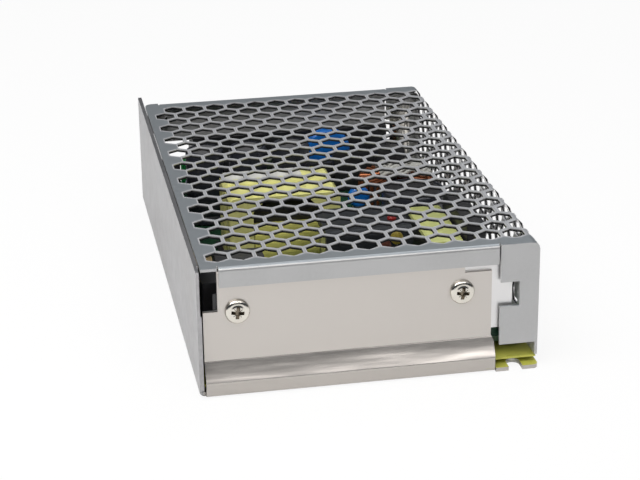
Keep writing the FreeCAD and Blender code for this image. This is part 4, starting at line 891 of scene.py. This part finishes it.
def axial_part(shape, leads, length, centre, way):
    """A resistor or a diode with rounded ends, lying on two bent leads."""
    radius = 1.2 * MM
    waist = 0.86 * radius
    half = length / 2 - 1.6 * MM
    lift = Vector((0, 0, 1.5 * MM))
    shape.lathe([(radius * 0.6, -half), (radius, 0.5 * MM - half), (waist, 1.2 * MM - half),
                 (waist, half - 1.2 * MM), (radius, half - 0.5 * MM), (radius * 0.6, half)],
                centre + lift, way, 20)
    for side in (-1, 1):
        tip = centre + way * side * (half + 1.2 * MM)
        leads.tube([centre + lift + way * side * half * 0.9, tip + lift, tip], 0.28 * MM, 6)


def small_can(shape, height, centre):
    """A small capacitor with a hollowed end."""
    radius = 2.5 * MM
    shape.lathe([(radius, 0), (radius, height - 0.4 * MM), (radius - 0.5 * MM, height),
                 (radius - 0.8 * MM, height - 0.2 * MM)], centre, sides=28)


def small_disc(shape, leads, centre, way):
    """A small dipped disc on two legs."""
    shape.lathe([(0.8 * MM, -0.9 * MM), (2.2 * MM, -0.6 * MM), (2.5 * MM, 0), (2.2 * MM, 0.6 * MM),
                 (0.8 * MM, 0.9 * MM)], centre + Vector((0, 0, 3.6 * MM)), (way.y, way.x, 0), 28)
    for side in (-1, 1):
        foot = centre + way * side * 1.4 * MM
        leads.tube([foot + Vector((0, 0, 2.2 * MM)), foot], 0.25 * MM, 6)


def taken_areas():
    """The areas of the board that the CAD parts take up."""
    around = ("mesh_cover", "chassis", "circuit_board", "insulating_sheet", "standoffs")
    boxes = [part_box(node) for node in frame["nodes"] if node not in around]
    return [(low.x, low.y, high.x, high.y) for low, high in boxes if low.z < BOARD_TOP + HEADROOM]


def overlap(first, second):
    """Whether two areas, each given as left, front, right and rear, share any ground."""
    return first[0] < second[2] and first[2] > second[0] and first[1] < second[3] and first[3] > second[1]


def small_parts(chance):
    """Small resistors, diodes, chips, cans and discs on the free places of the board."""
    board_low, board_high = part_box("circuit_board")
    taken = taken_areas()
    leads, resistors, chips, cans, discs = (Shape() for _ in range(5))
    for _ in range(PLACES_TRIED):
        kind = chance.choice(SMALL_KINDS)
        length, width = (value * MM for value in SMALL_SIZES[kind])
        along_y = chance.random() < 0.5
        wide, deep = (width, length) if along_y else (length, width)
        x = chance.uniform(board_low.x + 1 * MM, board_high.x - 1 * MM - wide)
        y = chance.uniform(board_low.y + 3 * MM, board_high.y - 1 * MM - deep)
        area = (x - CLEARANCE, y - CLEARANCE, x + wide + CLEARANCE, y + deep + CLEARANCE)
        if any(overlap(area, other) for other in taken):
            continue
        taken.append(area)
        centre = Vector((x + wide / 2, y + deep / 2, BOARD_TOP))
        way = Vector((0, 1, 0)) if along_y else Vector((1, 0, 0))
        if kind == "resistor":
            resistors.finish = chance.choice((0, 0, 1, 2))
            axial_part(resistors, leads, length, centre, way)
        elif kind == "diode":
            axial_part(chips, leads, length, centre, way)
        elif kind == "chip":
            chips.block((x, y, BOARD_TOP), (x + wide, y + deep, BOARD_TOP + 1.1 * MM), 0.12 * MM)
        elif kind == "can":
            small_can(cans, chance.uniform(6.5, 10.5) * MM, centre)
        else:
            discs.finish = chance.choice((0, 1))
            small_disc(discs, leads, centre, way)
    leads.build("small_leads", "plated_steel")
    resistors.build("small_resistors", "resistor_body", (), ["red_resin", "brown_resin"])
    chips.build("small_chips", "black_plastic")
    cans.build("small_cans", "can_sleeve")
    discs.build("small_discs", "blue_resin", (), ["yellow_resin"])


# -------------------------------- parts that show above their neighbours
# Sides of the small black boxes in millimetres: left, right, front, rear, top, and their rounding.
SMALL_BOXES = ((4.6, 15.0, 54.0, 57.4, 18.4, 0.3), (28.4, 38.0, 44.0, 50.0, 25.0, 0.4),
               (-44.4, -36.2, 66.4, 68.2, 19.0, 0.3))
# Wires that stand on the board, in millimetres: place across, place along, and top.
STANDING_WIRES = ((22.6, 12.6, 25.0), (23.6, 12.6, 25.0), (40.6, 14.2, 22.0))
# Beads on wires, in millimetres: the bead's middle, its radius, and the number of its finish.
STANDING_BEADS = (((15.6, -42.0, 28.0), 1.9, 1), ((11.9, -42.4, 26.0), 1.9, 2), ((18.6, -12.6, 20.0), 1.5, 4))


def rear_plates():
    """A bright plate on the board and a lip in the cover's finish, both inside the rear flange."""
    front, rear = COVER_HIGH.y - 5.2 * MM, COVER_HIGH.y - 4.4 * MM
    for name, slot, left, right, bottom, top in (
            ("rear_plate", "plated_steel", 37.6 * MM, 44.6 * MM, BOARD_TOP, 34.0 * MM),
            ("corner_lip", "cover_sheet", -46.6 * MM, -40.0 * MM, 29.0 * MM, 36.8 * MM)):
        plate = Shape()
        plate.block((left, front, bottom), (right, rear, top), 0.2 * MM)
        plate.build(name, slot)


def small_boxes():
    """Black relays and connectors that show between the larger parts."""
    relays = Shape()
    for left, right, front, rear, top, soft in SMALL_BOXES:
        relays.block((left * MM, front * MM, BOARD_TOP), (right * MM, rear * MM, top * MM), soft * MM)
    relays.build("small_relays", "black_plastic")


def standing_wires():
    """Bare wires that stand on the board."""
    wires = Shape()
    for x, y, top in STANDING_WIRES:
        wires.tube([(x * MM, y * MM, BOARD_TOP), (x * MM, y * MM, top * MM)], 0.3 * MM)
    wires.build("standing_wires", "plated_steel")


def standing_beads():
    """Resin beads, each on a wire from the board, and a red cap that rests on the heat spreader."""
    beads = Shape()
    half_length = 1.0 * MM
    for place, radius, finish in STANDING_BEADS:
        middle = Vector(place) * MM
        radius = radius * MM
        beads.finish = finish
        beads.lathe([(radius / 2, -half_length), (radius, -half_length / 2), (radius, half_length / 2),
                     (radius / 2, half_length)], middle, (0, 1, 0), 28)
        beads.finish = 3
        beads.tube([middle - Vector((0, 0, radius)), (middle.x, middle.y, BOARD_TOP)], 0.3 * MM, 6)
    spreader_low, spreader_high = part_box("heat_spreader")
    cap_place = (spreader_high.x - 4.6 * MM, spreader_low.y + 7.9 * MM, spreader_high.z)
    beads.finish = 4
    beads.lathe([(1.4 * MM, 0), (1.4 * MM, 0.5 * MM), (0.9 * MM, 0.9 * MM)], cap_place, sides=28)
    beads.build("standing_beads", "resistor_body", (),
                ["yellow_resin", "brown_resin", "plated_steel", "red_resin"])


random_parts = random.Random(SEED)
end_screws()
terminal_clamps()
for number in range(1, 4):
    can(f"output_capacitor_{number}", f"output_can_{number}", "can_top")
can("mains_capacitor", "mains_can", "black_top")
disc_part("varistor", "varistor_disc", "blue_resin")
disc_part("thermistor", "thermistor_disc", "dark_resin")
disc_part("safety_capacitor", "safety_disc", "blue_resin", 0.85)
choke()
adhesive(random_parts)
fuse()
film_capacitor()
soft_box("filter_capacitor", "black_plastic", 0.5 * MM)
soft_box("bridge_rectifier", "black_plastic", 0.4 * MM)
soft_box("output_inductor", "ferrite", 0.5 * MM)
soft_box("driver_transformer", "core_tape", 0.7 * MM)
soft_box("snubber_capacitor", "black_plastic", 0.4 * MM)
lamp()
core_tape()
winding_tape()
bobbin_throat_and_shade()
small_parts(random_parts)
rear_plates()
small_boxes()
standing_wires()
standing_beads()


# -------------------------------- studio
# The room that the metal reflects, from the horizon up: height, level and tint. Its walls are dark
# and its ceiling is bright.
WARM, COOL = (1.0, 1.0, 1.02), (0.92, 1.02, 1.12)
ROOM_BANDS = ((0.0, 0.30, WARM), (0.08, 0.06, COOL), (0.46, 0.06, COOL), (0.60, 0.50, WARM),
              (1.0, 0.45, WARM))
# Soft lamps: place, width and depth, power and tint. All of them face one point.
LAMPS = {
    "key": ((-0.35, -0.25, 0.75), (0.6, 0.5), 4.8, (1.0, 0.99, 0.97)),
    "front_fill": ((0.12, -0.75, 0.72), (0.9, 0.35), 2.6, (1.0, 0.97, 0.94)),
    "rear_light": ((0.35, 0.5, 0.9), (0.5, 0.3), 0.9, (0.95, 0.98, 1.0)),
}
LAMP_AIM = (0, 0, 0.02)
FLOOR_HALF = 3.0
FLOOR_DROP = 0.1 * MM


def floor():
    """A white floor that takes a faint contact shadow."""
    mesh = bpy.data.meshes.new("floor")
    corners = [(x * FLOOR_HALF, y * FLOOR_HALF, 0) for x, y in ((-1, -1), (1, -1), (1, 1), (-1, 1))]
    mesh.from_pydata(corners, [], [(0, 1, 2, 3)])
    item = new_object("floor", mesh)
    item.location.z = -FLOOR_DROP
    graph = Graph("floor_white")
    graph.finish((0.9, 0.9, 0.9, 1.0), 0.9, specular=0.0)
    glow = graph.node("ShaderNodeEmission", Color=WHITE)
    graph.for_camera(graph.surface, glow, 0.88, "Material Output")
    mesh.materials.append(graph.owner)


def lamp_panel(name, place, size, power, colour):
    """A soft rectangular lamp."""
    data = bpy.data.lights.new(name, "AREA")
    data.shape = "RECTANGLE"
    data.size, data.size_y = size
    data.energy = power
    data.color = colour
    item = new_object(name, data)
    item.location = place
    item.rotation_mode = "QUATERNION"
    item.rotation_quaternion = (Vector(LAMP_AIM) - Vector(place)).to_track_quat("-Z", "Y")


def surroundings():
    """White to the camera, the room's bands to everything else."""
    graph = Graph("studio", bpy.data.worlds)
    bpy.context.scene.world = graph.owner
    ramp = graph.node("ShaderNodeValToRGB", Fac=graph.axes(graph.coordinates["Generated"])["Z"])
    fill_ramp(ramp.color_ramp, [(height, shade(tint, level)) for height, level, tint in ROOM_BANDS])
    room = graph.nodes["Background"]
    graph.put(ramp.outputs[0], room.inputs["Color"])
    seen = graph.node("ShaderNodeBackground", Color=WHITE, Strength=1.0)
    graph.for_camera(room, seen, 1.0, "World Output")


def camera():
    """The main view's camera, turned by its heading and pitch and then rolled about its axis."""
    heading, pitch, roll = (math.radians(value) for value in (CAMERA_HEADING, CAMERA_PITCH, CAMERA_ROLL))
    look = Vector((math.sin(heading) * math.cos(pitch), math.cos(heading) * math.cos(pitch), math.sin(pitch)))
    right = Vector((math.cos(heading), -math.sin(heading), 0))
    up = right.cross(look)
    right, up = (math.cos(roll) * right + math.sin(roll) * up, math.cos(roll) * up - math.sin(roll) * right)
    data = bpy.data.cameras.new("camera")
    data.sensor_width = SENSOR_WIDTH
    data.lens = CAMERA_LENS
    item = new_object("camera", data)
    turn = Matrix((right, up, -look)).transposed().to_4x4()
    item.matrix_world = Matrix.Translation(CAMERA_PLACE) @ turn
    bpy.context.scene.camera = item


floor()
surroundings()
for name, (place, size, power, colour) in LAMPS.items():
    lamp_panel(name, place, size, power, colour)
camera()
bpy.context.scene.view_settings.view_transform = "Standard"
